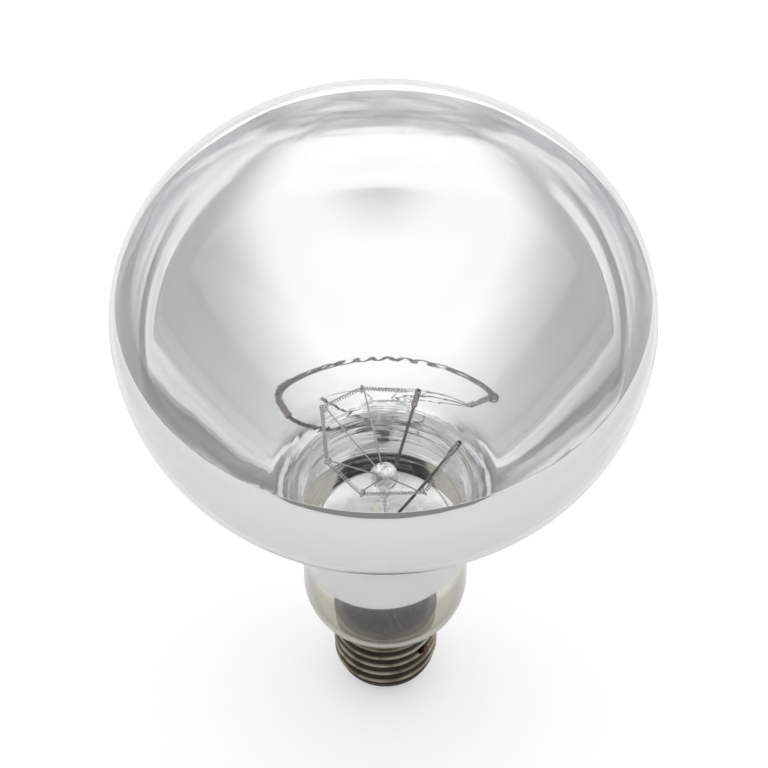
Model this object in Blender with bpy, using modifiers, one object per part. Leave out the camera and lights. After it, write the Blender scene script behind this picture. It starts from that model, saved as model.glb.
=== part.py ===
"""Reflector heat lamp bulb with a clear domed face and a screwed E27 cap.

The lamp stands cap down with its axis on Z. The origin is the flat tip of the
solder on the centre contact. Every length is in metres and every angle in degrees.
"""
import math

import bmesh
import bpy
from mathutils import Matrix, Vector

# Blown glass bulb
bulb_diameter = 0.125
face_radius = 0.100
face_shoulder_radius = 0.026
bowl_shoulder_radius = 0.044
flank_top_angle = 31.0
flank_bottom_angle = 41.0
junction_radius = 0.032
neck_diameter = 0.041
neck_length = 0.0252
neck_shoulder_radius = 0.0116
throat_diameter = 0.0212
throat_fillet_radius = 0.002
throat_length = 0.008
glass_wall = 0.001

# Silvering inside the bulb
film_wall = 0.0002
film_rise = 0.008
film_end_angle = 56.0

# Clearances between pieces that touch on the real lamp
seat_gap = 0.0003
wire_gap = 0.00015

# Cap
cap_height = 0.027
thread_crest_diameter = 0.0264
thread_root_diameter = 0.02426
thread_pitch = 0.003629
thread_phase_drop = 0.0088
collar_height = 0.0032
edge_bend_height = 0.0012
collar_diameter = 0.0262
rim_diameter = 0.0267
rim_lip_height = 0.0007
cap_edge_diameter = 0.0240
cap_edge_height = 0.0050
cap_sheet = 0.00035
slit_angle = -38.5
slit_drop = 0.0102
slit_length = 0.0042
slit_opening = 0.0008
slit_tilt = 42.0
solder_bead_radius = 0.0014
solder_bead_share = 0.30

# Cap insulator, contact plate, solder and cement
insulator_flange_thickness = 0.0005
insulator_plug_height = 0.0030
insulator_foot_diameter = 0.0112
insulator_hole_diameter = 0.0026
insulator_floor = 0.0020
insulator_plug_wall = 0.0022
insulator_cone_height_shares = (0.70, 0.35)
insulator_cone_width_shares = (0.55, 0.20)
contact_diameter = 0.0098
contact_thickness = 0.0009
contact_edge_radius = 0.0003
contact_hole_diameter = 0.0024
solder_drop_height = 0.0002
solder_tip_diameter = 0.0026
solder_drop_diameter = 0.0046
cement_height = 0.0085

# Stem, exhaust tube, glass rod and heat shield
stem_tube_diameter = 0.013
stem_wall = 0.001
flare_height = 0.007
flare_knee_height_share = 0.45
flare_knee_width_share = 0.25
stem_height = 0.0414
press_height = 0.010
press_taper_height = 0.006
press_width = 0.0130
press_thickness = 0.0038
press_edge_radius = 0.0006
exhaust_diameter = 0.004
exhaust_wall = 0.0007
exhaust_tip_height = 0.0095
rod_diameter = 0.0028
button_diameter = 0.0074
rod_length = 0.0217
shield_diameter = 0.0338
shield_sheet = 0.0004
shield_rim_height = 0.0012
shield_slot_width = 0.0035
shield_slot_length = 0.0040
shield_slot_side = 0.00115
shield_slot_out = 0.0004

# Leads, clamps, supports and filament
lead_spacing = 0.009
lead_diameter = 0.0008
lead_socket_depth = 0.003
lead_bend_rise = 0.0040
clamp_length = 0.0048
clamp_wall = 0.0002
clamp_overhang = 0.0004
outer_lead_diameter = 0.0005
outer_lead_offset = 0.0036
side_lead_bend_share = 0.60
support_diameter = 0.00036
support_socket_depth = 0.0012
support_loop_turns = 1.2
support_loop_advance = 0.0009
coil_diameter = 0.0011
filament_rise = 0.0157
filament_ring_radius = 0.017
filament_corner_radius = 0.0014

# Where the filament's corners lie on its ring: angle round the axis, then share of the ring's radius
corner_angles = (60.0, 109.0, 147.0, 205.0, 251.0, 301.0, 356.0)
corner_radius_shares = (0.97, 0.96, 1.05, 0.89, 1.00, 1.09, 1.05)

# Smoothness
bulb_steps = 36
cap_steps = 26
small_steps = 20
wire_steps = 12
rows_per_pitch = 5
merge_distance = 0.000001
overrun = 0.002

# Derived sizes
bulb_radius = bulb_diameter / 2
neck_radius = neck_diameter / 2
throat_radius = throat_diameter / 2
crest_radius = thread_crest_diameter / 2
root_radius = thread_root_diameter / 2
rim_inner_radius = rim_diameter / 2 - cap_sheet
lead_radius = lead_diameter / 2
support_radius = support_diameter / 2
coil_radius = coil_diameter / 2
stem_radius = stem_tube_diameter / 2
rod_radius = rod_diameter / 2
button_radius = button_diameter / 2
top_slope = math.radians(flank_top_angle)
bottom_slope = math.radians(flank_bottom_angle)

# The neck's shoulder sits on the rim of the cap
shoulder_centre_radius = neck_radius - neck_shoulder_radius
shoulder_reach = neck_shoulder_radius + seat_gap
shoulder_drop = math.sqrt(shoulder_reach ** 2 - (rim_inner_radius - shoulder_centre_radius) ** 2)
neck_bottom_height = cap_height + shoulder_drop
neck_top_height = neck_bottom_height + neck_length

# The flank is one long arc that joins the neck's fillet to the bowl's shoulder
fillet_top_radius = neck_radius + junction_radius * (1 - math.cos(bottom_slope))
flank_top_radius = bulb_radius - bowl_shoulder_radius * (1 - math.cos(top_slope))
flank_radius = (flank_top_radius - fillet_top_radius) / (math.cos(top_slope) - math.cos(bottom_slope))
flank_bottom_height = neck_top_height + junction_radius * math.sin(bottom_slope)
flank_centre_height = flank_bottom_height + flank_radius * math.sin(bottom_slope)
flank_top_height = flank_centre_height - flank_radius * math.sin(top_slope)
widest_height = flank_top_height + bowl_shoulder_radius * math.sin(top_slope)

# The throat's fillet touches both the shoulder and the throat
throat_reach = neck_shoulder_radius + throat_fillet_radius
throat_offset = throat_radius + throat_fillet_radius - shoulder_centre_radius
throat_top_height = neck_bottom_height - math.sqrt(throat_reach ** 2 - throat_offset ** 2)
throat_bottom_height = throat_top_height - throat_length

# The thread runs between the collar and the cap's lower edge
thread_top_height = cap_height - collar_height
thread_bottom_height = cap_edge_height + edge_bend_height
thread_phase_height = cap_height - thread_phase_drop
slit_height = cap_height - slit_drop

# The mount stands on the throat's end
press_top_height = throat_bottom_height + stem_height
button_height = press_top_height + rod_length
lead_bend_height = press_top_height + lead_bend_rise
filament_height = button_height + filament_rise

PART_NAME = "heat_lamp_bulb"


def clear_scene():
    """Remove what the scene holds."""
    for item in list(bpy.data.objects):
        bpy.data.objects.remove(item, do_unlink=True)


def make_collection(name):
    """Return a new collection linked to the scene."""
    collection = bpy.data.collections.new(name)
    bpy.context.scene.collection.children.link(collection)
    return collection


def make_material(name, colour, roughness, metallic=0.0, transmission=0.0):
    """Return a Principled material with the piece's colour and finish."""
    material = bpy.data.materials.new(name)
    material.use_nodes = True
    shader = material.node_tree.nodes["Principled BSDF"]
    shader.inputs["Base Color"].default_value = (*colour, 1.0)
    shader.inputs["Roughness"].default_value = roughness
    shader.inputs["Metallic"].default_value = metallic
    shader.inputs["Transmission Weight"].default_value = transmission
    material.diffuse_color = (*colour, 1.0)
    return material


def add_piece(name, data, material):
    """Link a named piece to the lamp's collection, under its root empty."""
    piece = bpy.data.objects.new(name, data)
    parts.objects.link(piece)
    piece.parent = root
    data.materials.append(material)
    return piece


def bake(piece):
    """Turn a piece's modifiers into plain mesh, so that its points can be moved."""
    depsgraph = bpy.context.evaluated_depsgraph_get()
    mesh = bpy.data.meshes.new_from_object(piece.evaluated_get(depsgraph))
    piece.modifiers.clear()
    old = piece.data
    piece.data = mesh
    bpy.data.meshes.remove(old)


def arc(centre, radius, start, end, segments):
    """Points (radius, height) along an arc, its angles in radians from outward towards up."""
    points = []
    for i in range(segments + 1):
        angle = start + (end - start) * i / segments
        points.append((centre[0] + radius * math.cos(angle), centre[1] + radius * math.sin(angle)))
    return points


def join_points(*stretches):
    """Join stretches of an outline and drop the points where they meet twice."""
    outline = []
    for stretch in stretches:
        for point in stretch:
            if not outline or math.dist(outline[-1], point) > merge_distance:
                outline.append(point)
    return outline


def add_screw(piece, steps):
    """Turn a piece's outline round Z into a closed surface."""
    screw = piece.modifiers.new("turned", "SCREW")
    screw.axis = "Z"
    screw.steps = steps
    screw.render_steps = steps
    screw.use_merge_vertices = True
    screw.merge_threshold = merge_distance
    screw.use_smooth_shade = True


def turned(name, outline, material, steps, closed=False):
    """Return a turned piece. Its outline runs down the outer side, top to bottom."""
    mesh = bpy.data.meshes.new(name)
    points = [(radius, 0.0, height) for radius, height in outline]
    edges = [(i, i + 1) for i in range(len(points) - 1)]
    if closed:
        edges.append((len(points) - 1, 0))
    mesh.from_pydata(points, edges, [])
    piece = add_piece(name, mesh, material)
    add_screw(piece, steps)
    return piece


def shell(piece, wall):
    """Give an open surface its wall, laid inside it."""
    solidify = piece.modifiers.new("wall", "SOLIDIFY")
    solidify.thickness = wall
    solidify.offset = -1.0
    solidify.use_even_offset = True


def smooth_round(piece):
    """Shade round faces smooth and keep corners sharp."""
    piece.data.shade_smooth()
    piece.data.set_sharp_from_angle(angle=math.radians(40))


def wire(name, points, radius, material, bevel_resolution=2):
    """Return a round wire through the points, with filled ends."""
    curve = bpy.data.curves.new(name, "CURVE")
    curve.dimensions = "3D"
    curve.bevel_depth = radius
    curve.bevel_resolution = bevel_resolution
    curve.use_fill_caps = True
    spline = curve.splines.new("POLY")
    spline.points.add(len(points) - 1)
    for point, place in zip(spline.points, points):
        point.co = (*place, 1.0)
    return add_piece(name, curve, material)


def smooth_route(knots, per_span):
    """Points on a smooth curve through the knots."""
    ends = [2 * knots[0] - knots[1]] + list(knots) + [2 * knots[-1] - knots[-2]]
    route = []
    for i in range(1, len(ends) - 2):
        before, start, end, after = ends[i - 1:i + 3]
        for j in range(per_span):
            t = j / per_span
            pull = (2 * start + (end - before) * t + (2 * before - 5 * start + 4 * end - after) * t ** 2
                    + (3 * start - 3 * end + after - before) * t ** 3)
            route.append(pull / 2)
    route.append(knots[-1])
    return route


def cut(piece, cutter, name):
    """Cut a piece with a hidden cutter."""
    boolean = piece.modifiers.new(name, "BOOLEAN")
    boolean.operation = "DIFFERENCE"
    boolean.solver = "EXACT"
    boolean.object = cutter


def hide_cutter(cutter):
    """Keep a cutter out of the render and show it as wire."""
    for owner in list(cutter.users_collection):
        owner.objects.unlink(cutter)
    cutters.objects.link(cutter)
    cutter.hide_render = True
    cutter.display_type = "WIRE"


def round_cutter(name, radius, start, end, width_scale=1.0):
    """Return a hidden round cutter from one point to another."""
    axis = end - start
    mesh = bpy.data.meshes.new(name)
    cutter = bpy.data.objects.new(name, mesh)
    grid = bmesh.new()
    bmesh.ops.create_cone(grid, cap_ends=True, segments=wire_steps, radius1=radius, radius2=radius,
                          depth=axis.length)
    bmesh.ops.scale(grid, vec=(width_scale, 1.0, 1.0), verts=grid.verts)
    grid.to_mesh(mesh)
    grid.free()
    cutters.objects.link(cutter)
    turn = axis.to_track_quat("Z", "Y").to_matrix().to_4x4()
    cutter.matrix_world = Matrix.Translation((start + end) / 2) @ turn
    hide_cutter(cutter)
    return cutter


def thread_lift(angle, height):
    """How far the rolled thread stands off its mean radius. It fades out at both ends."""
    half_pitch = thread_pitch / 2
    fade_top = (thread_top_height - height) / half_pitch
    fade_bottom = (height - thread_bottom_height) / half_pitch
    fade = max(0.0, min(1.0, fade_top, fade_bottom))
    fade = fade * fade * (3 - 2 * fade)
    turns = (height - thread_phase_height) / thread_pitch - (angle + math.pi / 2) / math.tau
    return fade * (crest_radius - root_radius) / 2 * math.cos(math.tau * turns)


def roll_thread(piece):
    """Press the thread into a plain turned sheet, as a rolling tool does."""
    for vertex in piece.data.vertices:
        angle = math.atan2(vertex.co.y, vertex.co.x)
        radius = math.hypot(vertex.co.x, vertex.co.y)
        if radius > merge_distance:
            scale = (radius + thread_lift(angle, vertex.co.z)) / radius
            vertex.co.x *= scale
            vertex.co.y *= scale


def thread_rows():
    """Heights of the rows of points along the thread, from the top down."""
    spacing = thread_pitch / rows_per_pitch
    count = max(2, round((thread_top_height - thread_bottom_height) / spacing))
    step = (thread_top_height - thread_bottom_height) / count
    return [thread_top_height - step * i for i in range(count + 1)]


def bulb_section(inset):
    """Stretches of the bulb's outline, from the apex down, at an inset from its outer surface."""
    join_angle = math.acos((bulb_radius - face_shoulder_radius) / (face_radius - face_shoulder_radius))
    face_centre_height = widest_height - (face_radius - face_shoulder_radius) * math.sin(join_angle)
    shoulder_centre = (bulb_radius - face_shoulder_radius, widest_height)
    bowl_centre = (bulb_radius - bowl_shoulder_radius, widest_height)
    fillet_centre = (neck_radius + junction_radius, neck_top_height)
    neck_centre = (shoulder_centre_radius, neck_bottom_height)
    throat_centre = (throat_radius + throat_fillet_radius, throat_top_height)
    throat_angle = math.acos(throat_offset / throat_reach)
    face = arc((0.0, face_centre_height), face_radius - inset, math.pi / 2, join_angle, 6)
    face[0] = (0.0, face_centre_height + face_radius - inset)
    shoulder = arc(shoulder_centre, face_shoulder_radius - inset, join_angle, 0.0, 5)
    bowl = arc(bowl_centre, bowl_shoulder_radius - inset, 0.0, -top_slope, 4)
    flank_centre = (flank_top_radius - flank_radius * math.cos(top_slope), flank_centre_height)
    flank = arc(flank_centre, flank_radius - inset, -top_slope, -bottom_slope, 2)
    fillet = arc(fillet_centre, junction_radius + inset, math.pi - bottom_slope, math.pi, 3)
    neck = arc(neck_centre, neck_shoulder_radius - inset, 0.0, -throat_angle, 5)
    throat = arc(throat_centre, throat_fillet_radius + inset, math.pi - throat_angle, math.pi, 2)
    tail = [(throat_radius - inset, throat_bottom_height)]
    return {"face": face, "shoulder": shoulder, "bowl": bowl, "flank": flank, "fillet": fillet,
            "neck": neck, "throat": throat, "tail": tail}


def build_envelope():
    """The blown bulb: domed face, bowl, neck and the throat that the cap holds."""
    section = bulb_section(0.0)
    glass = make_material("clear_glass", (0.93, 0.96, 0.95), 0.02, transmission=1.0)
    envelope = turned("glass_envelope", join_points(*section.values()), glass, bulb_steps)
    shell(envelope, glass_wall)


def build_film():
    """The aluminium film, from just above the widest part down to the neck's shoulder."""
    inset = glass_wall + seat_gap
    section = bulb_section(inset)
    shoulder_radius = face_shoulder_radius - inset
    start_angle = math.asin(min(1.0, film_rise / shoulder_radius))
    shoulder = arc((bulb_radius - face_shoulder_radius, widest_height), shoulder_radius, start_angle, 0.0, 2)
    end_angle = math.radians(film_end_angle)
    neck = arc((shoulder_centre_radius, neck_bottom_height), neck_shoulder_radius - inset, 0.0, -end_angle, 4)
    outline = join_points(shoulder, section["bowl"], section["flank"], section["fillet"], neck)
    mirror = make_material("silvering", (0.86, 0.87, 0.87), 0.05, metallic=1.0)
    film = turned("reflector_film", outline, mirror, bulb_steps)
    shell(film, film_wall)


def shell_outline(offset):
    """Outline of the cap shell before its thread is rolled, moved out by an offset."""
    mean_radius = (crest_radius + root_radius) / 2
    collar_radius = collar_diameter / 2
    heights = thread_rows()
    collar_foot_height = heights[0] + (heights[0] - heights[1])
    lip_height = cap_height - rim_lip_height
    bend_height = (heights[-1] + cap_edge_height) / 2
    outline = [(rim_diameter / 2, cap_height), (rim_diameter / 2, lip_height),
               (collar_radius, lip_height - rim_lip_height), (collar_radius, collar_foot_height)]
    outline += [(mean_radius, height) for height in heights]
    outline += [((mean_radius + cap_edge_diameter / 2) / 2, bend_height),
                (cap_edge_diameter / 2, cap_edge_height)]
    return [(radius + offset, height) for radius, height in outline]


def slit_place(share):
    """Place on the slit at a share of its length down from its middle, with X pointing outward."""
    around = Matrix.Rotation(math.radians(slit_angle), 4, "Z")
    tilt = Matrix.Rotation(math.radians(slit_tilt), 4, "X")
    out = Matrix.Translation((crest_radius, 0.0, slit_height))
    return around @ out @ tilt @ Matrix.Translation((0.0, -share * slit_length, 0.0))


def build_cap_shell():
    """The cap's shell: a collar with a lip, the rolled thread and the slit for the side lead."""
    nickel = make_material("nickel_plate", (0.55, 0.51, 0.46), 0.32, metallic=1.0)
    piece = turned("cap_shell", shell_outline(0.0), nickel, cap_steps)
    bake(piece)
    roll_thread(piece)
    shell(piece, cap_sheet)
    slit_depth = rim_diameter - thread_root_diameter + cap_sheet
    slit = box_cutter("slit_cutter", (slit_depth, slit_length, slit_opening))
    slit.matrix_world = slit_place(0.0)
    cut(piece, slit, "slit")
    bake(piece)
    smooth_round(piece)


def box_cutter(name, size):
    """Return a hidden box cutter of a size, at the origin."""
    mesh = bpy.data.meshes.new(name)
    grid = bmesh.new()
    bmesh.ops.create_cube(grid, size=1.0)
    bmesh.ops.scale(grid, vec=size, verts=grid.verts)
    grid.to_mesh(mesh)
    grid.free()
    cutter = bpy.data.objects.new(name, mesh)
    cutters.objects.link(cutter)
    hide_cutter(cutter)
    return cutter


def build_side_solder():
    """The bead that joins the side lead to the shell, over the slit's lower end."""
    tin = make_material("side_solder_tin", (0.52, 0.44, 0.36), 0.38, metallic=1.0)
    mesh = bpy.data.meshes.new("side_solder")
    bead = bmesh.new()
    bmesh.ops.create_uvsphere(bead, u_segments=wire_steps, v_segments=wire_steps // 2,
                              radius=solder_bead_radius)
    bead.to_mesh(mesh)
    bead.free()
    piece = add_piece("side_solder", mesh, tin)
    piece.matrix_world = slit_place(solder_bead_share)
    outline = shell_outline(seat_gap)
    core_outline = [(0.0, outline[0][1])] + outline + [(0.0, outline[-1][1])]
    core = turned("thread_core_cutter", core_outline, tin, cap_steps)
    bake(core)
    roll_thread(core)
    core.parent = None
    hide_cutter(core)
    cut(piece, core, "thread seat")


def build_insulator():
    """The moulded insulator: a plug in the shell, a flange under its edge and a hollow cone."""
    black = make_material("black_insulator", (0.015, 0.014, 0.014), 0.22)
    plug_radius = root_radius - cap_sheet - seat_gap
    plug_inner_radius = plug_radius - insulator_plug_wall
    flange_radius = cap_edge_diameter / 2
    flange_top = cap_edge_height - seat_gap
    flange_bottom = flange_top - insulator_flange_thickness
    plug_neck_radius = flange_radius - cap_sheet - seat_gap
    foot_radius = insulator_foot_diameter / 2
    foot_height = solder_drop_height + contact_thickness + 2 * seat_gap
    cone_height = flange_bottom - foot_height
    cone_width = flange_radius - foot_radius
    hole_radius = insulator_hole_diameter / 2
    plug_top = flange_top + insulator_plug_height
    floor_height = foot_height + insulator_floor
    outline = [(plug_inner_radius, plug_top), (plug_neck_radius, plug_top), (plug_neck_radius, flange_top),
               (flange_radius, flange_top), (flange_radius, flange_bottom)]
    for height_share, width_share in zip(insulator_cone_height_shares, insulator_cone_width_shares):
        outline.append((foot_radius + width_share * cone_width, foot_height + height_share * cone_height))
    outline += [(foot_radius, foot_height), (hole_radius, foot_height), (hole_radius, floor_height),
                (plug_inner_radius, floor_height + insulator_floor)]
    turned("cap_insulator", outline, black, cap_steps, closed=True)


def build_contact():
    """The contact plate and the drop of solder through its middle."""
    brass = make_material("contact_metal", (0.60, 0.55, 0.45), 0.35, metallic=1.0)
    tin = make_material("solder_tin", (0.62, 0.62, 0.60), 0.30, metallic=1.0)
    outer = contact_diameter / 2
    hole = contact_hole_diameter / 2
    bottom = solder_drop_height + seat_gap
    top = bottom + contact_thickness
    corner = arc((outer - contact_edge_radius, bottom + contact_edge_radius), contact_edge_radius,
                 0.0, -math.pi / 2, 2)
    plate = [(hole, top), (outer, top)] + corner + [(hole, bottom)]
    turned("centre_contact", plate, brass, small_steps, closed=True)
    drop = solder_drop_diameter / 2
    plug = hole - seat_gap
    outline = [(0.0, top), (plug, top), (plug, solder_drop_height), (drop, solder_drop_height),
               (solder_tip_diameter / 2, 0.0), (0.0, 0.0)]
    turned("contact_solder", outline, tin, small_steps)


def build_cement():
    """The ring of cement between the throat and the cap shell."""
    buff = make_material("basing_cement", (0.55, 0.50, 0.42), 0.8)
    glass_side = throat_radius + seat_gap
    collar_side = collar_diameter / 2 - cap_sheet - seat_gap
    thread_side = root_radius - cap_sheet - seat_gap
    top = cap_height - rim_lip_height
    bottom = top - cement_height
    fillet_rise = top - throat_top_height
    reach = throat_fillet_radius - seat_gap
    hollow = math.sqrt(max(0.0, reach ** 2 - min(reach, fillet_rise) ** 2))
    top_side = throat_radius + throat_fillet_radius - hollow + seat_gap
    step_height = thread_top_height + seat_gap
    outline = [(top_side, top), (collar_side, top), (collar_side, step_height + seat_gap),
               (thread_side, step_height), (thread_side, bottom), (glass_side, bottom),
               (glass_side, throat_top_height)]
    turned("cap_cement", outline, buff, cap_steps, closed=True)


def squeeze_press(piece):
    """Flatten the top of the stem between two jaws, as the press is made."""
    start = press_top_height - press_height - press_taper_height
    for vertex in piece.data.vertices:
        share = max(0.0, min(1.0, (vertex.co.z - start) / press_taper_height))
        share = share * share * (3 - 2 * share)
        vertex.co.x *= 1 + share * (press_thickness / stem_tube_diameter - 1)
        vertex.co.y *= 1 + share * (press_width / stem_tube_diameter - 1)


def build_stem():
    """The stem: a flare sealed to the throat, a tube, and the press that holds the leads."""
    glass = make_material("stem_glass", (0.90, 0.93, 0.92), 0.05, transmission=1.0)
    rim_radius = throat_radius - glass_wall - seat_gap
    flare_width = rim_radius - stem_radius
    inner_radius = stem_radius - stem_wall
    rim_height = throat_bottom_height
    press_bottom = press_top_height - press_height
    squeeze_start = press_bottom - press_taper_height
    knee_height = rim_height + flare_knee_height_share * flare_height
    knee_width = flare_knee_width_share * flare_width
    hollow_top = press_bottom - stem_wall
    outline = [(0.0, press_top_height), (stem_radius - press_edge_radius, press_top_height),
               (stem_radius, press_top_height - press_edge_radius), (stem_radius, press_bottom),
               (stem_radius, (press_bottom + squeeze_start) / 2), (stem_radius, squeeze_start),
               (stem_radius, rim_height + flare_height), (stem_radius + knee_width, knee_height),
               (rim_radius, rim_height + stem_wall), (rim_radius, rim_height),
               (rim_radius - stem_wall, rim_height),
               (inner_radius + knee_width, knee_height - stem_wall / 2),
               (inner_radius, rim_height + flare_height), (inner_radius, squeeze_start),
               (inner_radius, (squeeze_start + hollow_top) / 2), (inner_radius / 2, hollow_top),
               (0.0, hollow_top)]
    piece = turned("stem", outline, glass, small_steps)
    bake(piece)
    squeeze_press(piece)
    for side in (1, -1):
        seat = Vector((0.0, side * lead_spacing / 2, press_top_height - lead_socket_depth - wire_gap))
        mouth = Vector((0.0, side * lead_spacing / 2, press_top_height + overrun))
        cutter = round_cutter(f"lead_socket_cutter_{side}", lead_radius + wire_gap, seat, mouth)
        cut(piece, cutter, f"socket {side}")
    bake(piece)
    smooth_round(piece)


def build_exhaust_tube():
    """The exhaust tube, open under the press and sealed to a tip inside the cap."""
    glass = make_material("exhaust_glass", (0.90, 0.93, 0.92), 0.05, transmission=1.0)
    outer = exhaust_diameter / 2
    inner = outer - exhaust_wall
    top = press_top_height - press_height - press_taper_height / 2
    tip = arc((0.0, exhaust_tip_height + outer), outer, 0.0, -math.pi / 2, 3)
    tip[-1] = (0.0, exhaust_tip_height)
    bore = arc((0.0, exhaust_tip_height + outer), inner, -math.pi / 2, 0.0, 2)
    bore[0] = (0.0, exhaust_tip_height + outer - inner)
    turned("exhaust_tube", join_points(bore, [(inner, top), (outer, top)], tip), glass, wire_steps)


def build_rod():
    """The glass rod on the press, with the button that the supports are stuck in."""
    glass = make_material("rod_glass", (0.90, 0.93, 0.92), 0.08, transmission=1.0)
    neck_angle = math.acos(rod_radius / button_radius)
    ball = arc((0.0, button_height), button_radius, math.pi / 2, -neck_angle, 9)
    ball[0] = (0.0, button_height + button_radius)
    base = press_top_height + seat_gap
    outline = ball + [(rod_radius, base), (0.0, base)]
    piece = turned("arbor_rod", outline, glass, wire_steps)
    centre = Vector((0.0, 0.0, button_height))
    for number, corner in enumerate(filament_corners()[1:-1], start=1):
        aim = (corner - centre).normalized()
        seat = centre + aim * (button_radius - support_socket_depth - wire_gap)
        mouth = centre + aim * (button_radius + overrun)
        cutter = round_cutter(f"support_socket_cutter_{number}", support_radius + wire_gap, seat, mouth)
        cut(piece, cutter, f"socket {number}")


def build_heat_shield():
    """The pressed disc across the neck, on the press, with a turned-down rim and lead slots."""
    steel = make_material("shield_metal", (0.78, 0.78, 0.78), 0.2, metallic=1.0)
    outer = shield_diameter / 2
    bottom = press_top_height + seat_gap
    top = bottom + shield_sheet
    hole = rod_radius + wire_gap
    outline = [(hole, top), (outer - shield_sheet, top), (outer, top - shield_sheet),
               (outer, bottom - shield_rim_height), (outer - shield_sheet, bottom - shield_rim_height),
               (outer - shield_sheet, bottom), (hole, bottom)]
    piece = turned("heat_shield", outline, steel, cap_steps, closed=True)
    for side in (1, -1):
        centre = Vector((-side * shield_slot_side, side * (lead_spacing / 2 + shield_slot_out), bottom))
        reach = Vector((0.0, 0.0, overrun))
        cutter = round_cutter(f"shield_slot_cutter_{side}", shield_slot_length / 2, centre - reach,
                              centre + reach, shield_slot_width / shield_slot_length)
        cut(piece, cutter, f"slot {side}")


def filament_corners():
    """Corners of the filament's open ring, from the tip of lead a round to the tip of lead b."""
    corners = []
    for angle, share in zip(corner_angles, corner_radius_shares):
        turn = math.radians(angle)
        reach = filament_ring_radius * share
        corners.append(Vector((reach * math.cos(turn), reach * math.sin(turn), filament_height)))
    return corners


def lead_route(side, tip):
    """Route of an inner lead: up out of its socket, then a bend and straight out to its tip."""
    foot = Vector((0.0, side * lead_spacing / 2, press_top_height - lead_socket_depth))
    bend = Vector((0.0, side * lead_spacing / 2, lead_bend_height))
    aim = (tip - bend).normalized()
    rise = Vector((0.0, 0.0, 1.0))
    ease = lead_bend_rise - shield_sheet - seat_gap
    route = [foot, bend - rise * ease / 2]
    for i in range(1, 4):
        t = i / 4
        start = bend - rise * ease / 2
        end = bend + aim * ease / 2
        route.append(start.lerp(bend, t).lerp(bend.lerp(end, t), t))
    route += [bend + aim * ease / 2, tip]
    return route


def build_leads():
    """The two inner leads and the sleeves clamped on their tips."""
    nickel = make_material("lead_nickel", (0.36, 0.33, 0.31), 0.35, metallic=1.0)
    sleeve_metal = make_material("clamp_nickel", (0.42, 0.38, 0.36), 0.35, metallic=1.0)
    corners = filament_corners()
    bore = lead_radius + wire_gap
    outer = bore + clamp_wall
    for letter, side, tip in (("a", 1, corners[0]), ("b", -1, corners[-1])):
        route = lead_route(side, tip)
        wire(f"lead_post_{letter}", route, lead_radius, nickel)
        aim = (route[-1] - route[-2]).normalized()
        outline = [(bore, clamp_length), (outer, clamp_length), (outer, 0.0), (bore, 0.0)]
        sleeve = turned(f"lead_clamp_{letter}", outline, sleeve_metal, wire_steps, closed=True)
        start = tip + aim * (clamp_overhang - clamp_length)
        sleeve.matrix_world = Matrix.Translation(start) @ aim.to_track_quat("Z", "Y").to_matrix().to_4x4()


def rounded_route(corners, radius, segments):
    """Route through the corners, each bend rounded by a short curve."""
    route = [corners[0]]
    for before, corner, after in zip(corners, corners[1:], corners[2:]):
        start = corner + (before - corner).normalized() * radius
        end = corner + (after - corner).normalized() * radius
        for i in range(segments + 1):
            t = i / segments
            route.append(start.lerp(corner, t).lerp(corner.lerp(end, t), t))
    route.append(corners[-1])
    return route


def build_filament():
    """The coiled filament as the tube that its turns fill, strung round the supports."""
    tungsten = make_material("tungsten", (0.42, 0.42, 0.42), 0.4, metallic=1.0)
    corners = filament_corners()
    sleeve_radius = lead_radius + wire_gap + clamp_wall
    stand_off = sleeve_radius + seat_gap
    corners[0] = corners[0] + (corners[1] - corners[0]).normalized() * stand_off
    corners[-1] = corners[-1] + (corners[-2] - corners[-1]).normalized() * stand_off
    route = rounded_route(corners, filament_corner_radius, 3)
    wire("filament", route, coil_radius, tungsten, bevel_resolution=1)


def build_supports():
    """The thin wires from the button, each ending in an open loop round a corner of the filament."""
    molybdenum = make_material("support_molybdenum", (0.45, 0.45, 0.46), 0.35, metallic=1.0)
    corners = filament_corners()
    centre = Vector((0.0, 0.0, button_height))
    loop_radius = coil_radius + wire_gap + support_radius
    segments = 9
    for number in range(1, len(corners) - 1):
        before, corner, after = corners[number - 1:number + 2]
        pull = (before - corner).normalized() + (after - corner).normalized()
        bow = filament_corner_radius / 2 * pull
        middle = corner + bow / 2
        along = (after - before).normalized()
        aim = (middle - centre).normalized()
        inward = (-aim - along * (-aim).dot(along)).normalized()
        across = along.cross(inward)
        route = [centre + aim * (button_radius - support_socket_depth)]
        for i in range(segments + 1):
            share = i / segments
            turn = math.tau * support_loop_turns * share
            shift = (share - 0.5) * support_loop_advance
            spoke = inward * math.cos(turn) + across * math.sin(turn)
            route.append(middle + spoke * loop_radius + along * shift)
        wire(f"support_wire_{number}", route, support_radius, molybdenum, bevel_resolution=1)


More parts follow.
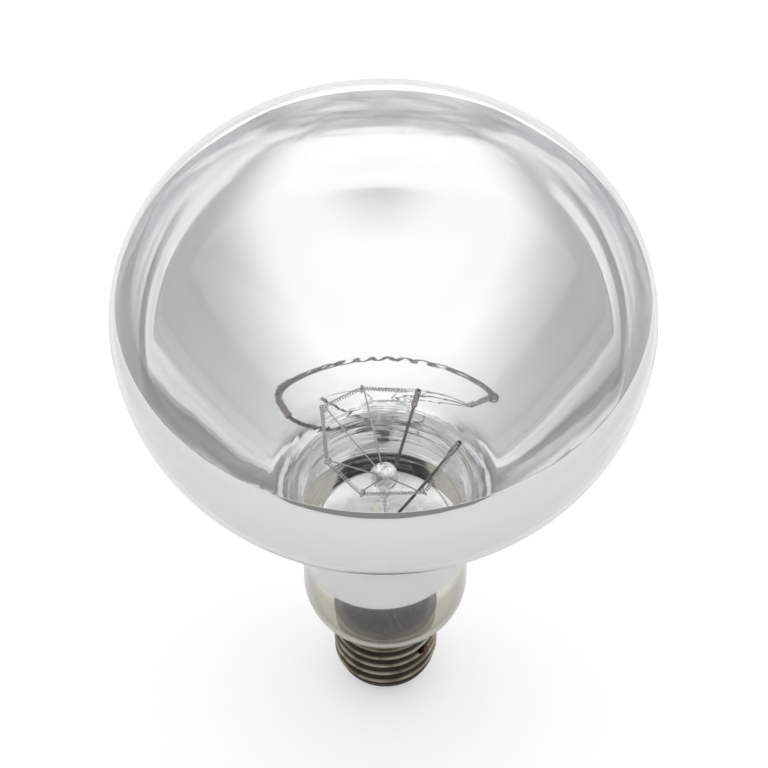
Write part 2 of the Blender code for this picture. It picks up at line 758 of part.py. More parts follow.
def build_outer_leads():
    """The two outer leads, from under the press to the contact solder and to the slit."""
    copper = make_material("outer_lead_copper", (0.60, 0.36, 0.24), 0.35, metallic=1.0)
    radius = outer_lead_diameter / 2
    top = press_top_height - press_height - press_taper_height / 2
    tube_bottom = throat_bottom_height + flare_height
    offset = outer_lead_offset
    floor_height = cap_edge_height + insulator_plug_height
    contact_top = solder_drop_height + seat_gap + contact_thickness
    knots = [Vector((0.0, -offset, top)), Vector((0.0, -offset, tube_bottom)),
             Vector((0.0, -offset, exhaust_tip_height + exhaust_diameter)),
             Vector((0.0, -offset / 2, floor_height)),
             Vector((0.0, 0.0, contact_top + insulator_floor)), Vector((0.0, 0.0, contact_top + seat_gap))]
    wire("contact_lead", smooth_route(knots, 3), radius, copper, bevel_resolution=1)
    mouth = slit_place(solder_bead_share) @ Vector((-seat_gap, 0.0, 0.0))
    inside = Vector((mouth.x * side_lead_bend_share, mouth.y * side_lead_bend_share, mouth.z))
    under_glass = throat_bottom_height - 2 * outer_lead_diameter
    knots = [Vector((0.0, offset, top)), Vector((0.0, offset, tube_bottom)),
             Vector((offset / 2, offset, throat_bottom_height)), Vector((offset, 0.0, under_glass)),
             inside, mouth]
    wire("side_lead", smooth_route(knots, 3), radius, copper, bevel_resolution=1)


clear_scene()
parts = make_collection(PART_NAME)
cutters = make_collection("cutters")
root = bpy.data.objects.new(f"{PART_NAME}_root", None)
parts.objects.link(root)

build_envelope()
build_film()
build_cap_shell()
build_side_solder()
build_insulator()
build_contact()
build_cement()
build_stem()
build_exhaust_tube()
build_rod()
build_heat_shield()
build_leads()
build_filament()
build_supports()
build_outer_leads()
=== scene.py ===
"""Finished heat lamp bulb: clear domed face, silvered bowl and neck, coiled filament and screw cap.

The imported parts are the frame. Each class below builds one sub-assembly as surfaces worked out with numpy,
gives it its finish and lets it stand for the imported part. Lengths are in metres and angles in radians.
"""

import logging
import math
from dataclasses import dataclass, field, replace
from enum import Enum

import bmesh
import bpy
import numpy as np
from mathutils import Matrix


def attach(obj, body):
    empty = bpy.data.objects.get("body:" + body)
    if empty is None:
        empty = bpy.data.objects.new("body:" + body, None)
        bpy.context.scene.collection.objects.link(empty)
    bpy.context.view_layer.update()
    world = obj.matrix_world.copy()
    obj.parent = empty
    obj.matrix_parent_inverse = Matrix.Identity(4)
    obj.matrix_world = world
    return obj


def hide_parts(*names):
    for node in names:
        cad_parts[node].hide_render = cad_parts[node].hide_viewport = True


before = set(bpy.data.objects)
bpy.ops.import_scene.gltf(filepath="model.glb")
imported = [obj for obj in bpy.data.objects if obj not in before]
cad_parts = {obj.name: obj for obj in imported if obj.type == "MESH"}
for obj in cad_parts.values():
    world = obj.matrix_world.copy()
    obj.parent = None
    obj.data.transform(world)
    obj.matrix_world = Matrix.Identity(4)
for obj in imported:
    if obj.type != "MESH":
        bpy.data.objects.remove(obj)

log = logging.getLogger("heat_lamp_bulb")

MM = 0.001
MERGE = 1e-8
SEAT_GAP = 0.3 * MM
RIPPLE_SPREAD = (0.7, 1.5)
WHITE = (1.0, 1.0, 1.0, 1.0)
UPWARD = (0.0, 0.0, 1.0)
BACKWARD = (0.0, 1.0, 0.0)
EVEN = (1.0, 1.0, 1.0)


class Side(Enum):
    """The two leads, named by the side of the press they leave from."""

    A = 1
    B = -1


# Surfaces


def smooth(share: np.ndarray) -> np.ndarray:
    """A share kept between 0 and 1 and eased at both ends."""
    kept = np.clip(share, 0, 1)
    return kept * kept * (3 - 2 * kept)


def arc(centre: tuple[float, float], radius: float, start: float, end: float, count: int) -> np.ndarray:
    """Points on an arc: centre + radius * (cos t, sin t), with t even from start to end.

    Args:
        centre: radius and height of the arc's centre.
        radius: radius of the arc.
        start: first angle, from outward towards up.
        end: last angle.
        count: number of points.

    Returns:
        Array of (radius, height) pairs.
    """
    turn = np.linspace(start, end, count)
    return np.column_stack((centre[0] + radius * np.cos(turn), centre[1] + radius * np.sin(turn)))


def line(start: tuple[float, float], end: tuple[float, float], count: int) -> np.ndarray:
    """Points spread evenly on a straight stretch of an outline.

    Args:
        start: first (radius, height).
        end: last (radius, height).
        count: number of points.

    Returns:
        Array of (radius, height) pairs.
    """
    share = np.linspace(0.0, 1.0, count)[:, None]
    return np.asarray(start) * (1 - share) + np.asarray(end) * share


def joined(*stretches: np.ndarray) -> np.ndarray:
    """Stretches of an outline in one array, without the points where two of them meet twice."""
    points = np.concatenate(stretches)
    step = np.linalg.norm(np.diff(points, axis=0), axis=1)
    return points[np.concatenate(([True], step > MERGE))]


def turned(outline: np.ndarray, columns: int) -> np.ndarray:
    """A turned surface: P(u, v) = (r(v) cos u, r(v) sin u, z(v)).

    Args:
        outline: (radius, height) pairs, running down the outer side.
        columns: number of points round the axis.

    Returns:
        Grid of points, one row for each point of the outline.
    """
    turn = np.arange(columns) * (math.tau / columns)
    radius = outline[:, 0][:, None]
    height = np.broadcast_to(outline[:, 1][:, None], (len(outline), columns))
    return np.stack((radius * np.cos(turn), radius * np.sin(turn), height), axis=-1)


def unit(vectors: np.ndarray) -> np.ndarray:
    """Vectors scaled to length one."""
    return vectors / np.linalg.norm(vectors, axis=-1, keepdims=True)


def tangents(path: np.ndarray) -> np.ndarray:
    """Unit direction of a path at each of its points."""
    return unit(np.gradient(path, axis=0))


def frames(path: np.ndarray, reference: np.ndarray) -> tuple[np.ndarray, np.ndarray, np.ndarray]:
    """Direction, normal and binormal along a path.

    The normal is the reference with its share along the path taken out, and the binormal is across both.

    Args:
        path: points of the path.
        reference: a vector, or one for each point, that never runs along the path.

    Returns:
        Arrays of tangents, normals and binormals.
    """
    ahead = tangents(path)
    guide = np.broadcast_to(reference, path.shape)
    normal = unit(guide - ahead * np.sum(guide * ahead, axis=1, keepdims=True))
    return ahead, normal, np.cross(ahead, normal)


def tube(path: np.ndarray, radius: np.ndarray | float, sides: int, reference: np.ndarray) -> np.ndarray:
    """A round tube along a path: P(s, v) = path(s) + radius(s) * (cos v * normal + sin v * binormal).

    Args:
        path: points of the centre line.
        radius: one radius, or one for each point.
        sides: number of points round the tube.
        reference: see frames.

    Returns:
        Grid of points with a pole at each end.
    """
    _, normal, binormal = frames(path, reference)
    turn = np.arange(sides) * (math.tau / sides)
    reach = np.broadcast_to(radius, (len(path),))[:, None, None]
    ring = normal[:, None] * np.cos(turn)[None, :, None] + binormal[:, None] * np.sin(turn)[None, :, None]
    body = path[:, None] + reach * ring
    first = np.broadcast_to(path[0], (1, sides, 3))
    last = np.broadcast_to(path[-1], (1, sides, 3))
    return np.concatenate((first, body, last))


def spread(path: np.ndarray, step: float) -> np.ndarray:
    """Points at an even distance along a path, each coordinate a straight run between its neighbours.

    Args:
        path: points of the path.
        step: distance between points.

    Returns:
        The evenly spaced points.
    """
    length = np.concatenate(([0.0], np.cumsum(np.linalg.norm(np.diff(path, axis=0), axis=1))))
    count = max(3, round(length[-1] / step) + 1)
    place = np.linspace(0.0, length[-1], count)
    return np.column_stack([np.interp(place, length, path[:, axis]) for axis in range(3)])


def softened(path: np.ndarray, rounds: int) -> np.ndarray:
    """A path with its bends eased.

    In each round every inner point moves to a quarter of each neighbour plus half of itself.

    Args:
        path: points of the path.
        rounds: how often the points are moved.

    Returns:
        The eased path, with both ends in place.
    """
    eased = path.copy()
    for _ in range(rounds):
        eased[1:-1] = (eased[:-2] + 2 * eased[1:-1] + eased[2:]) / 4
    return eased


def ripple(points: np.ndarray, length: float, seed: int, waves: int = 14) -> np.ndarray:
    """A smooth uneven field: the mean of sine waves in random directions.

    Args:
        points: grid of points.
        length: typical distance from crest to crest.
        seed: number that fixes the directions and phases.
        waves: how many waves are added.

    Returns:
        One value for each point, mostly between -1 and 1.
    """
    draw = np.random.default_rng(seed)
    aim = unit(draw.normal(size=(waves, 3)))
    number = math.tau / (length * draw.uniform(*RIPPLE_SPREAD, size=waves))
    phase = draw.uniform(0, math.tau, size=waves)
    return np.sin(points @ (aim * number[:, None]).T + phase).sum(axis=-1) / math.sqrt(waves)


def quads(rows: int, columns: int, closed_rows: bool) -> np.ndarray:
    """Faces of a grid that closes round its columns, wound so that a turned surface faces out.

    Args:
        rows: number of rows.
        columns: number of columns.
        closed_rows: whether the last row joins the first.

    Returns:
        Array of four point numbers a face.
    """
    down = np.arange(rows if closed_rows else rows - 1)[:, None]
    below = (down + 1) % rows
    across = np.arange(columns)[None, :]
    beside = (across + 1) % columns
    corners = (down * columns + across, below * columns + across,
               below * columns + beside, down * columns + beside)
    return np.stack(np.broadcast_arrays(*corners), axis=-1).reshape(-1, 4)


def mesh_from_grid(name: str, grid: np.ndarray, closed_rows: bool = False) -> bpy.types.Mesh:
    """A mesh from a grid of points, its poles merged and its faces pointing out.

    Args:
        name: name of the mesh.
        grid: rows by columns of points.
        closed_rows: whether the last row joins the first.

    Returns:
        The mesh, shaded smooth.
    """
    rows, columns = grid.shape[:2]
    mesh = bpy.data.meshes.new(name)
    mesh.from_pydata(grid.reshape(-1, 3), [], quads(rows, columns, closed_rows).tolist())
    work = bmesh.new()
    work.from_mesh(mesh)
    bmesh.ops.remove_doubles(work, verts=work.verts, dist=MERGE)
    bmesh.ops.recalc_face_normals(work, faces=work.faces)
    work.to_mesh(mesh)
    work.free()
    mesh.shade_smooth()
    return mesh


def place_piece(name: str, mesh: bpy.types.Mesh, material: bpy.types.Material,
                node: str) -> bpy.types.Object:
    """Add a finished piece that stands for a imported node.

    Args:
        name: name of the piece.
        mesh: its mesh, in the frame's coordinates.
        material: its finish.
        node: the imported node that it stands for.

    Returns:
        The new object.
    """
    piece = bpy.data.objects.new(name, mesh)
    bpy.context.scene.collection.objects.link(piece)
    mesh.materials.clear()
    mesh.materials.append(material)
    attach(piece, "root")
    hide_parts(node)
    log.info("%s stands for %s with %d faces", name, node, len(mesh.polygons))
    return piece


def keep_corners(mesh: bpy.types.Mesh, angle: float) -> None:
    """Shade a mesh smooth but keep the edges that are sharper than an angle."""
    mesh.shade_smooth()
    mesh.set_sharp_from_angle(angle=angle)


def cut_away(mesh: bpy.types.Mesh, cutters: list[bpy.types.Object]) -> bpy.types.Mesh:
    """Cut a mesh with closed cutters, which are then removed.

    Args:
        mesh: the closed mesh to cut.
        cutters: closed objects.

    Returns:
        The mesh that is left.
    """
    block = bpy.data.objects.new("block", mesh)
    bpy.context.scene.collection.objects.link(block)
    for cutter in cutters:
        boolean = block.modifiers.new("cut", "BOOLEAN")
        boolean.operation = "DIFFERENCE"
        boolean.solver = "EXACT"
        boolean.object = cutter
    bpy.context.view_layer.update()
    result = bpy.data.meshes.new_from_object(block.evaluated_get(bpy.context.evaluated_depsgraph_get()))
    for item in (block, *cutters):
        bpy.data.objects.remove(item, do_unlink=True)
    return result


def cutter_from(mesh: bpy.types.Mesh, place: Matrix) -> bpy.types.Object:
    """A temporary cutter object.

    Args:
        mesh: its closed mesh.
        place: where it stands.

    Returns:
        The new object.
    """
    mesh.transform(place)
    cutter = bpy.data.objects.new("cutter", mesh)
    bpy.context.scene.collection.objects.link(cutter)
    return cutter


# Finishes


class NodeTools:
    """Short ways to add and join the nodes of one node tree."""

    def __init__(self, tree: bpy.types.NodeTree) -> None:
        """Keep the tree that the nodes go into."""
        self.tree = tree

    def add(self, kind: str, **settings: object) -> bpy.types.Node:
        """Add a node and set its plain properties.

        Args:
            kind: the node's type name.
            settings: properties of the node.

        Returns:
            The node.
        """
        node = self.tree.nodes.new(kind)
        for key, value in settings.items():
            setattr(node, key, value)
        return node

    def join(self, source: bpy.types.NodeSocket, target: bpy.types.NodeSocket) -> None:
        """Link one socket to another."""
        self.tree.links.new(source, target)

    def math(self, operation: str, first: object, second: object) -> bpy.types.NodeSocket:
        """A Math node on two sockets or numbers, and its result.

        Args:
            operation: the node's operation.
            first: a socket or a number.
            second: a socket or a number.

        Returns:
            The result's socket.
        """
        node = self.add("ShaderNodeMath", operation=operation)
        for number, value in enumerate((first, second)):
            if isinstance(value, bpy.types.NodeSocket):
                self.join(value, node.inputs[number])
            else:
                node.inputs[number].default_value = value
        return node.outputs[0]

    def product(self, *factors: object) -> bpy.types.NodeSocket:
        """All factors, which are sockets or numbers, multiplied together."""
        result = factors[0]
        for factor in factors[1:]:
            result = self.math("MULTIPLY", result, factor)
        return result

    def stretched(self, vector: bpy.types.NodeSocket, factors: object) -> bpy.types.NodeSocket:
        """A vector with each of its parts multiplied by a factor of its own.

        Args:
            vector: socket with the vector.
            factors: a socket or three numbers.

        Returns:
            The product's socket.
        """
        product = self.add("ShaderNodeVectorMath", operation="MULTIPLY")
        self.join(vector, product.inputs[0])
        if isinstance(factors, bpy.types.NodeSocket):
            self.join(factors, product.inputs[1])
        else:
            product.inputs[1].default_value = factors
        return product.outputs[0]

    def soft_step(self, value: object, start: object, end: object) -> bpy.types.NodeSocket:
        """A smooth step from 0 where the value is at the start to 1 where it is at the end.

        Args:
            value: socket that is stepped.
            start: socket or number at which the step begins.
            end: socket or number at which it is done.

        Returns:
            The step's socket.
        """
        step = self.add("ShaderNodeMapRange", interpolation_type="SMOOTHSTEP")
        for label, given in (("Value", value), ("From Min", start), ("From Max", end)):
            if isinstance(given, bpy.types.NodeSocket):
                self.join(given, step.inputs[label])
            else:
                step.inputs[label].default_value = given
        return step.outputs[0]

    def blend(self, mask: bpy.types.NodeSocket, first: object, second: object) -> bpy.types.NodeSocket:
        """A colour that goes from the first to the second where the mask goes from 0 to 1.

        Args:
            mask: socket with the mask.
            first: a socket, or a colour of three values.
            second: a socket, or a colour of three values.

        Returns:
            The colour's socket.
        """
        mix = self.add("ShaderNodeMix", data_type="RGBA")
        self.join(mask, mix.inputs["Factor"])
        for socket, given in ((mix.inputs[6], first), (mix.inputs[7], second)):
            if isinstance(given, bpy.types.NodeSocket):
                self.join(given, socket)
            else:
                socket.default_value = (*given, 1.0)
        return mix.outputs[2]


def new_group(name: str, inputs: list[tuple[str, str, object]],
              outputs: list[tuple[str, str]]) -> bpy.types.NodeTree:
    """A shader node group with named sockets.

    Args:
        name: name of the group.
        inputs: name, socket type and default of each input.
        outputs: name and socket type of each output.

    Returns:
        The group, with its input and output nodes named "in" and "out".
    """
    tree = bpy.data.node_groups.new(name, "ShaderNodeTree")
    for label, kind, value in inputs:
        socket = tree.interface.new_socket(name=label, in_out="INPUT", socket_type=kind)
        if value is not None:
            socket.default_value = value
    for label, kind in outputs:
        tree.interface.new_socket(name=label, in_out="OUTPUT", socket_type=kind)
    tree.nodes.new("NodeGroupInput").name = "in"
    tree.nodes.new("NodeGroupOutput").name = "out"
    return tree


class Effects:
    """Shader node groups that several finishes share, each built once."""

    WAVE_DETAIL = 1.0
    FINE_FACTOR = 4.0
    STAIN_DETAIL = 5.0
    STAIN_DISTORTION = 0.6
    STAIN_EDGES = (0.38, 0.68)
    GRAIN_DETAIL = 3.0
    GRAIN_SPAN = (0.3, 0.7)

    def __init__(self) -> None:
        """Build the groups."""
        self.waviness = self.build_waviness()
        self.tarnish = self.build_tarnish()
        self.grain = self.build_grain()
        self.height_step = self.build_height_step()
        self.painted_hollow_shade = self.build_painted_hollow_shade()

    def build_waviness(self) -> bpy.types.NodeTree:
        """Slow waves of blown glass: noise at one scale plus a weaker, finer noise, as a height."""
        tree = new_group("blown_waviness",
                         [("Vector", "NodeSocketVector", None), ("Scale", "NodeSocketFloat", 40.0),
                          ("Stretch", "NodeSocketVector", (1.0, 1.0, 1.0)),
                          ("Fine Share", "NodeSocketFloat", 0.2)],
                         [("Height", "NodeSocketFloat")])
        tools = NodeTools(tree)
        source, sink = tree.nodes["in"], tree.nodes["out"]
        place = tools.stretched(source.outputs["Vector"], source.outputs["Stretch"])
        slow = tools.add("ShaderNodeTexNoise")
        fine = tools.add("ShaderNodeTexNoise")
        for noise, factor in ((slow, 1.0), (fine, self.FINE_FACTOR)):
            noise.inputs["Detail"].default_value = self.WAVE_DETAIL
            tools.join(place, noise.inputs["Vector"])
            tools.join(tools.math("MULTIPLY", source.outputs["Scale"], factor), noise.inputs["Scale"])
        weak = tools.math("MULTIPLY", fine.outputs[0], source.outputs["Fine Share"])
        tools.join(tools.math("ADD", slow.outputs[0], weak), sink.inputs["Height"])
        return tree

    def build_tarnish(self) -> bpy.types.NodeTree:
        """Stains on metal: noise pushed through a soft step mixes the clean colour with the stain."""
        tree = new_group("tarnish",
                         [("Vector", "NodeSocketVector", None), ("Scale", "NodeSocketFloat", 200.0),
                          ("Amount", "NodeSocketFloat", 0.5), ("Clean", "NodeSocketColor", None),
                          ("Stain", "NodeSocketColor", None)],
                         [("Color", "NodeSocketColor")])
        tools = NodeTools(tree)
        source, sink = tree.nodes["in"], tree.nodes["out"]
        noise = tools.add("ShaderNodeTexNoise")
        noise.inputs["Detail"].default_value = self.STAIN_DETAIL
        noise.inputs["Distortion"].default_value = self.STAIN_DISTORTION
        tools.join(source.outputs["Vector"], noise.inputs["Vector"])
        tools.join(source.outputs["Scale"], noise.inputs["Scale"])
        mask = tools.product(tools.soft_step(noise.outputs[0], *self.STAIN_EDGES), source.outputs["Amount"])
        tools.join(tools.blend(mask, source.outputs["Clean"], source.outputs["Stain"]), sink.inputs["Color"])
        return tree

    def build_grain(self) -> bpy.types.NodeTree:
        """Fine grain: noise stretched along one axis, as a height and as a value between two limits."""
        tree = new_group("drawn_grain",
                         [("Vector", "NodeSocketVector", None), ("Scale", "NodeSocketFloat", 900.0),
                          ("Stretch", "NodeSocketVector", (1.0, 1.0, 1.0)),
                          ("Low", "NodeSocketFloat", 0.2), ("High", "NodeSocketFloat", 0.4)],
                         [("Value", "NodeSocketFloat"), ("Height", "NodeSocketFloat")])
        tools = NodeTools(tree)
        source, sink = tree.nodes["in"], tree.nodes["out"]
        noise = tools.add("ShaderNodeTexNoise")
        noise.inputs["Detail"].default_value = self.GRAIN_DETAIL
        tools.join(tools.stretched(source.outputs["Vector"], source.outputs["Stretch"]),
                   noise.inputs["Vector"])
        tools.join(source.outputs["Scale"], noise.inputs["Scale"])
        level = tools.add("ShaderNodeMapRange")
        level.inputs["From Min"].default_value = self.GRAIN_SPAN[0]
        level.inputs["From Max"].default_value = self.GRAIN_SPAN[1]
        tools.join(noise.outputs[0], level.inputs["Value"])
        tools.join(source.outputs["Low"], level.inputs["To Min"])
        tools.join(source.outputs["High"], level.inputs["To Max"])
        tools.join(level.outputs[0], sink.inputs["Value"])
        tools.join(noise.outputs[0], sink.inputs["Height"])
        return tree

    @staticmethod
    def build_height_step() -> bpy.types.NodeTree:
        """A mask that goes smoothly from 0 at one distance along an axis to 1 at another."""
        tree = new_group("height_step",
                         [("Vector", "NodeSocketVector", None), ("Axis", "NodeSocketVector", (0, 0, 1)),
                          ("From", "NodeSocketFloat", 0.0), ("To", "NodeSocketFloat", 1.0)],
                         [("Mask", "NodeSocketFloat")])
        tools = NodeTools(tree)
        source, sink = tree.nodes["in"], tree.nodes["out"]
        along = tools.add("ShaderNodeVectorMath", operation="DOT_PRODUCT")
        tools.join(source.outputs["Vector"], along.inputs[0])
        tools.join(source.outputs["Axis"], along.inputs[1])
        tools.join(tools.soft_step(along.outputs["Value"], source.outputs["From"], source.outputs["To"]),
                   sink.inputs["Mask"])
        return tree

    @staticmethod
    def build_painted_hollow_shade() -> bpy.types.NodeTree:
        """Painted shade in the hollows of a turned piece: it grows as a point comes nearer to the axis."""
        tree = new_group("painted_hollow_shade",
                         [("Vector", "NodeSocketVector", None), ("Ridge", "NodeSocketFloat", 1.0),
                          ("Hollow", "NodeSocketFloat", 0.0), ("Amount", "NodeSocketFloat", 0.0)],
                         [("Mask", "NodeSocketFloat")])
        tools = NodeTools(tree)
        source, sink = tree.nodes["in"], tree.nodes["out"]
        radius = tools.add("ShaderNodeVectorMath", operation="LENGTH")
        tools.join(tools.stretched(source.outputs["Vector"], (1.0, 1.0, 0.0)), radius.inputs[0])
        mask = tools.soft_step(radius.outputs["Value"], source.outputs["Ridge"], source.outputs["Hollow"])
        tools.join(tools.math("MULTIPLY", mask, source.outputs["Amount"]), sink.inputs["Mask"])
        return tree


@dataclass(frozen=True)
class GlassFinish:
    """Clear glass: a faint tint, a smooth face and the slow waves of blowing or pressing. Below the low zone
    it takes a colour of its own, which on the bulb is painted shade.
    """

    name: str
    tint: tuple[float, float, float] = (0.985, 0.987, 0.986)
    roughness: float = 0.0
    low_tint_and_shade: tuple[float, float, float] = (0.985, 0.987, 0.986)
    low_zone: tuple[float, float] = (0.053, 0.047)
    index: float = 1.5
    wave_scale: float = 30.0
    wave_fine_share: float = 0.1
    wave_depth: float = 0.00002

    def material(self, effects: Effects) -> bpy.types.Material:
        """The finish as a material.

        Args:
            effects: the shared effects.

        Returns:
            The material.
        """
        material, tools, shader = start_material(self.name)
        # Below the low zone the colour turns to the low one; on the bulb this darker colour is painted shade.
        low = step_mask(tools, effects, self.low_zone)
        tools.join(tools.blend(low, self.tint, self.low_tint_and_shade), shader.inputs["Base Color"])
        shader.inputs["Roughness"].default_value = self.roughness
        shader.inputs["IOR"].default_value = self.index
        shader.inputs["Transmission Weight"].default_value = 1.0
        waves = add_effect(tools, effects.waviness,
                           {"Scale": self.wave_scale, "Fine Share": self.wave_fine_share})
        add_bump(tools, waves.outputs["Height"], self.wave_depth, shader)
        return material


@dataclass(frozen=True)
class MirrorFinish:
    """The aluminium film: a bright mirror with the slow waves of the glass that it lies on."""

    name: str
    colour: tuple[float, float, float] = (0.84, 0.845, 0.845)
    roughness: float = 0.03
    wave_scale: float = 45.0
    wave_fine_share: float = 0.15
    wave_depth: float = 0.00004
    ring_scale: float = 520.0
    ring_share: float = 5.5
    ring_stretch: tuple[float, float, float] = (0.04, 0.04, 1.0)
    rough_scale: float = 75.0
    rough_share: float = 5.0
    rough_stretch: tuple[float, float, float] = (0.4, 0.4, 1.0)
    low_zone: tuple[float, float] = (0.086, 0.070)
    high_zone: tuple[float, float] = (0.1475, 0.1525)
    wave_zone: tuple[float, float] = (0.118, 0.108)
    far_roughness: float = 0.10
    far_side: tuple[float, float] = (0.020, 0.045)
    front_side: tuple[float, float] = (0.010, -0.015)
    front_waves: float = 2.0
    streak_reflection_colour: tuple[float, float, float] = (0.40, 0.425, 0.44)
    streak_scale: float = 190.0
    streak_stretch: tuple[float, float, float] = (0.22, 0.22, 1.0)
    streak_levels: tuple[float, float] = (0.47, 0.60)
    streak_lean: float = 0.10
    streak_zone: tuple[float, float] = (0.134, 0.143)
    streak_sides: tuple[float, float] = (0.0, 0.014)
    streak_back: tuple[float, float] = (0.059, 0.052)
    clear_zone: tuple[float, float] = (0.0529, 0.0521)
    clear_tilt: float = 0.08
    clear_left: float = 0.03

    def material(self, effects: Effects) -> bpy.types.Material:
        """The finish as a material.

        The middle of the far wall is calm and a little dull. Below the clear zone next to nothing of the film
        is left.

        Args:
            effects: the shared effects.

        Returns:
            The material.
        """
        material, tools, shader = start_material(self.name)
        # Partly painted reflection: the streaks turn the mirror's colour greyer and bluer.
        tools.join(tools.blend(self.streaks(tools, effects), self.colour, self.streak_reflection_colour),
                   shader.inputs["Base Color"])
        shader.inputs["Metallic"].default_value = 1.0
        low = step_mask(tools, effects, self.low_zone)
        high = step_mask(tools, effects, self.high_zone)
        wavy = tools.math("MAXIMUM", step_mask(tools, effects, self.wave_zone), high)
        far = step_mask(tools, effects, self.far_side, BACKWARD)
        dull = tools.product(tools.math("SUBTRACT", 1.0, wavy), far, self.far_roughness - self.roughness)
        tools.join(tools.math("ADD", self.roughness, dull), shader.inputs["Roughness"])
        add_bump(tools, self.relief(tools, effects, low, high, wavy), self.wave_depth, shader)
        clear = step_mask(tools, effects, self.clear_zone, (-self.clear_tilt, 0.0, 1.0))
        gone = tools.product(clear, 1.0 - self.clear_left)
        tools.join(tools.math("SUBTRACT", 1.0, gone), shader.inputs["Alpha"])
        return material

    def relief(self, tools: NodeTools, effects: Effects, low: bpy.types.NodeSocket,
               high: bpy.types.NodeSocket, wavy: bpy.types.NodeSocket) -> bpy.types.NodeSocket:
        """Relief of the film: slow waves, uneven glass near the rim and the neck, fine rings near the neck.

        Args:
            tools: tools of the material's node tree.
            effects: the shared effects.
            low: mask of the zone near the neck.
            high: mask of the zone near the rim.
            wavy: mask of the slow waves.

        Returns:
            Socket with the height.
        """
        front = step_mask(tools, effects, self.front_side, BACKWARD)
        stronger = tools.math("ADD", 1.0, tools.product(front, self.front_waves))
        waves = tools.product(self.noise(tools, effects, self.wave_scale, EVEN), wavy, stronger)
        rings = tools.product(self.noise(tools, effects, self.ring_scale, self.ring_stretch),
                              low, self.inner_face(tools), self.ring_share)
        rough = tools.product(self.noise(tools, effects, self.rough_scale, self.rough_stretch),
                              tools.math("MAXIMUM", low, high), self.rough_share)
        return tools.math("ADD", waves, tools.math("ADD", rings, rough))

    def noise(self, tools: NodeTools, effects: Effects, scale: float,
              stretch: tuple[float, float, float]) -> bpy.types.NodeSocket:
        """The shared waviness at a scale and stretch of its own.

        Args:
            tools: tools of the material's node tree.
            effects: the shared effects.
            scale: scale of the slow noise.
            stretch: factor along each axis.

        Returns:
            Socket with the height.
        """
        values = {"Scale": scale, "Stretch": stretch, "Fine Share": self.wave_fine_share}
        return add_effect(tools, effects.waviness, values).outputs["Height"]

    def streaks(self, tools: NodeTools, effects: Effects) -> bpy.types.NodeSocket:
        """Streaks along the rim, at the sides and at both ends of the back, where the film is thin and a
        painted reflection turns its colour greyer and bluer.

        Args:
            tools: tools of the material's node tree.
            effects: the shared effects.

        Returns:
            Socket with the mask of the streaks.
        """
        noise = self.noise(tools, effects, self.streak_scale, self.streak_stretch)
        near_rim = step_mask(tools, effects, self.streak_zone, (0.0, -self.streak_lean, 1.0))
        sides = step_mask(tools, effects, self.streak_sides, BACKWARD)
        back = step_mask(tools, effects, self.streak_back, BACKWARD)
        return tools.product(tools.soft_step(noise, *self.streak_levels), near_rim, sides, back,
                             self.inner_face(tools))

    @staticmethod
    def inner_face(tools: NodeTools) -> bpy.types.NodeSocket:
        """The film's inner face, where the normal points to the axis.

        Args:
            tools: tools of the material's node tree.

        Returns:
            Socket that is 1 on the inner face and 0 on the outer one.
        """
        coords = tools.add("ShaderNodeTexCoord")
        flat = tools.stretched(coords.outputs["Object"], (1.0, 1.0, 0.0))
        outward = tools.add("ShaderNodeVectorMath", operation="DOT_PRODUCT")
        tools.join(flat, outward.inputs[0])
        tools.join(coords.outputs["Normal"], outward.inputs[1])
        return tools.math("LESS_THAN", outward.outputs["Value"], 0.0)


@dataclass(frozen=True)
class MetalFinish:
    """Plated or drawn metal: a clean colour with stains, painted shade in its hollows, and a grain that
    varies its roughness.
    """

    name: str
    clean: tuple[float, float, float]
    stain: tuple[float, float, float]
    stain_amount: float = 0.5
    stain_scale: float = 300.0
    low_roughness: float = 0.2
    high_roughness: float = 0.4
    grain_scale: float = 900.0
    grain_stretch: tuple[float, float, float] = (1.0, 1.0, 1.0)
    grain_depth: float = 0.00001
    metallic: float = 1.0
    ridge: float = 1.0
    hollow: float = 0.5
    hollow_shade_amount: float = 0.0
    hollow_shade_colour: tuple[float, float, float] = (0.03, 0.026, 0.02)

    def material(self, effects: Effects) -> bpy.types.Material:
        """The finish as a material.

        Args:
            effects: the shared effects.

        Returns:
            The material.
        """
        material, tools, shader = start_material(self.name)
        shader.inputs["Metallic"].default_value = self.metallic
        stains = add_effect(tools, effects.tarnish,
                            {"Scale": self.stain_scale, "Amount": self.stain_amount,
                             "Clean": (*self.clean, 1.0), "Stain": (*self.stain, 1.0)})
        grain = add_effect(tools, effects.grain,
                           {"Scale": self.grain_scale, "Stretch": self.grain_stretch,
                            "Low": self.low_roughness, "High": self.high_roughness})
        # Painted shade: the colour darkens towards the hollows, nearer the axis.
        hollows = add_effect(tools, effects.painted_hollow_shade,
                             {"Ridge": self.ridge, "Hollow": self.hollow, "Amount": self.hollow_shade_amount})
        tools.join(tools.blend(hollows.outputs["Mask"], stains.outputs["Color"], self.hollow_shade_colour),
                   shader.inputs["Base Color"])
        tools.join(grain.outputs["Value"], shader.inputs["Roughness"])
        add_bump(tools, grain.outputs["Height"], self.grain_depth, shader)
        return material


def start_material(name: str) -> tuple[bpy.types.Material, NodeTools, bpy.types.Node]:
    """A new material with its Principled shader, and the tools for its nodes."""
    material = bpy.data.materials.new(name)
    material.use_nodes = True
    return material, NodeTools(material.node_tree), material.node_tree.nodes["Principled BSDF"]


def add_effect(tools: NodeTools, group: bpy.types.NodeTree, values: dict[str, object]) -> bpy.types.Node:
    """Place a shared effect on Object coordinates, with this finish's own values.

    Args:
        tools: tools of the material's node tree.
        group: the shared effect.
        values: value of each input.

    Returns:
        The group's node.
    """
    place = tools.add("ShaderNodeTexCoord")
    node = tools.add("ShaderNodeGroup", node_tree=group)
    tools.join(place.outputs["Object"], node.inputs["Vector"])
    for key, value in values.items():
        node.inputs[key].default_value = value
    return node


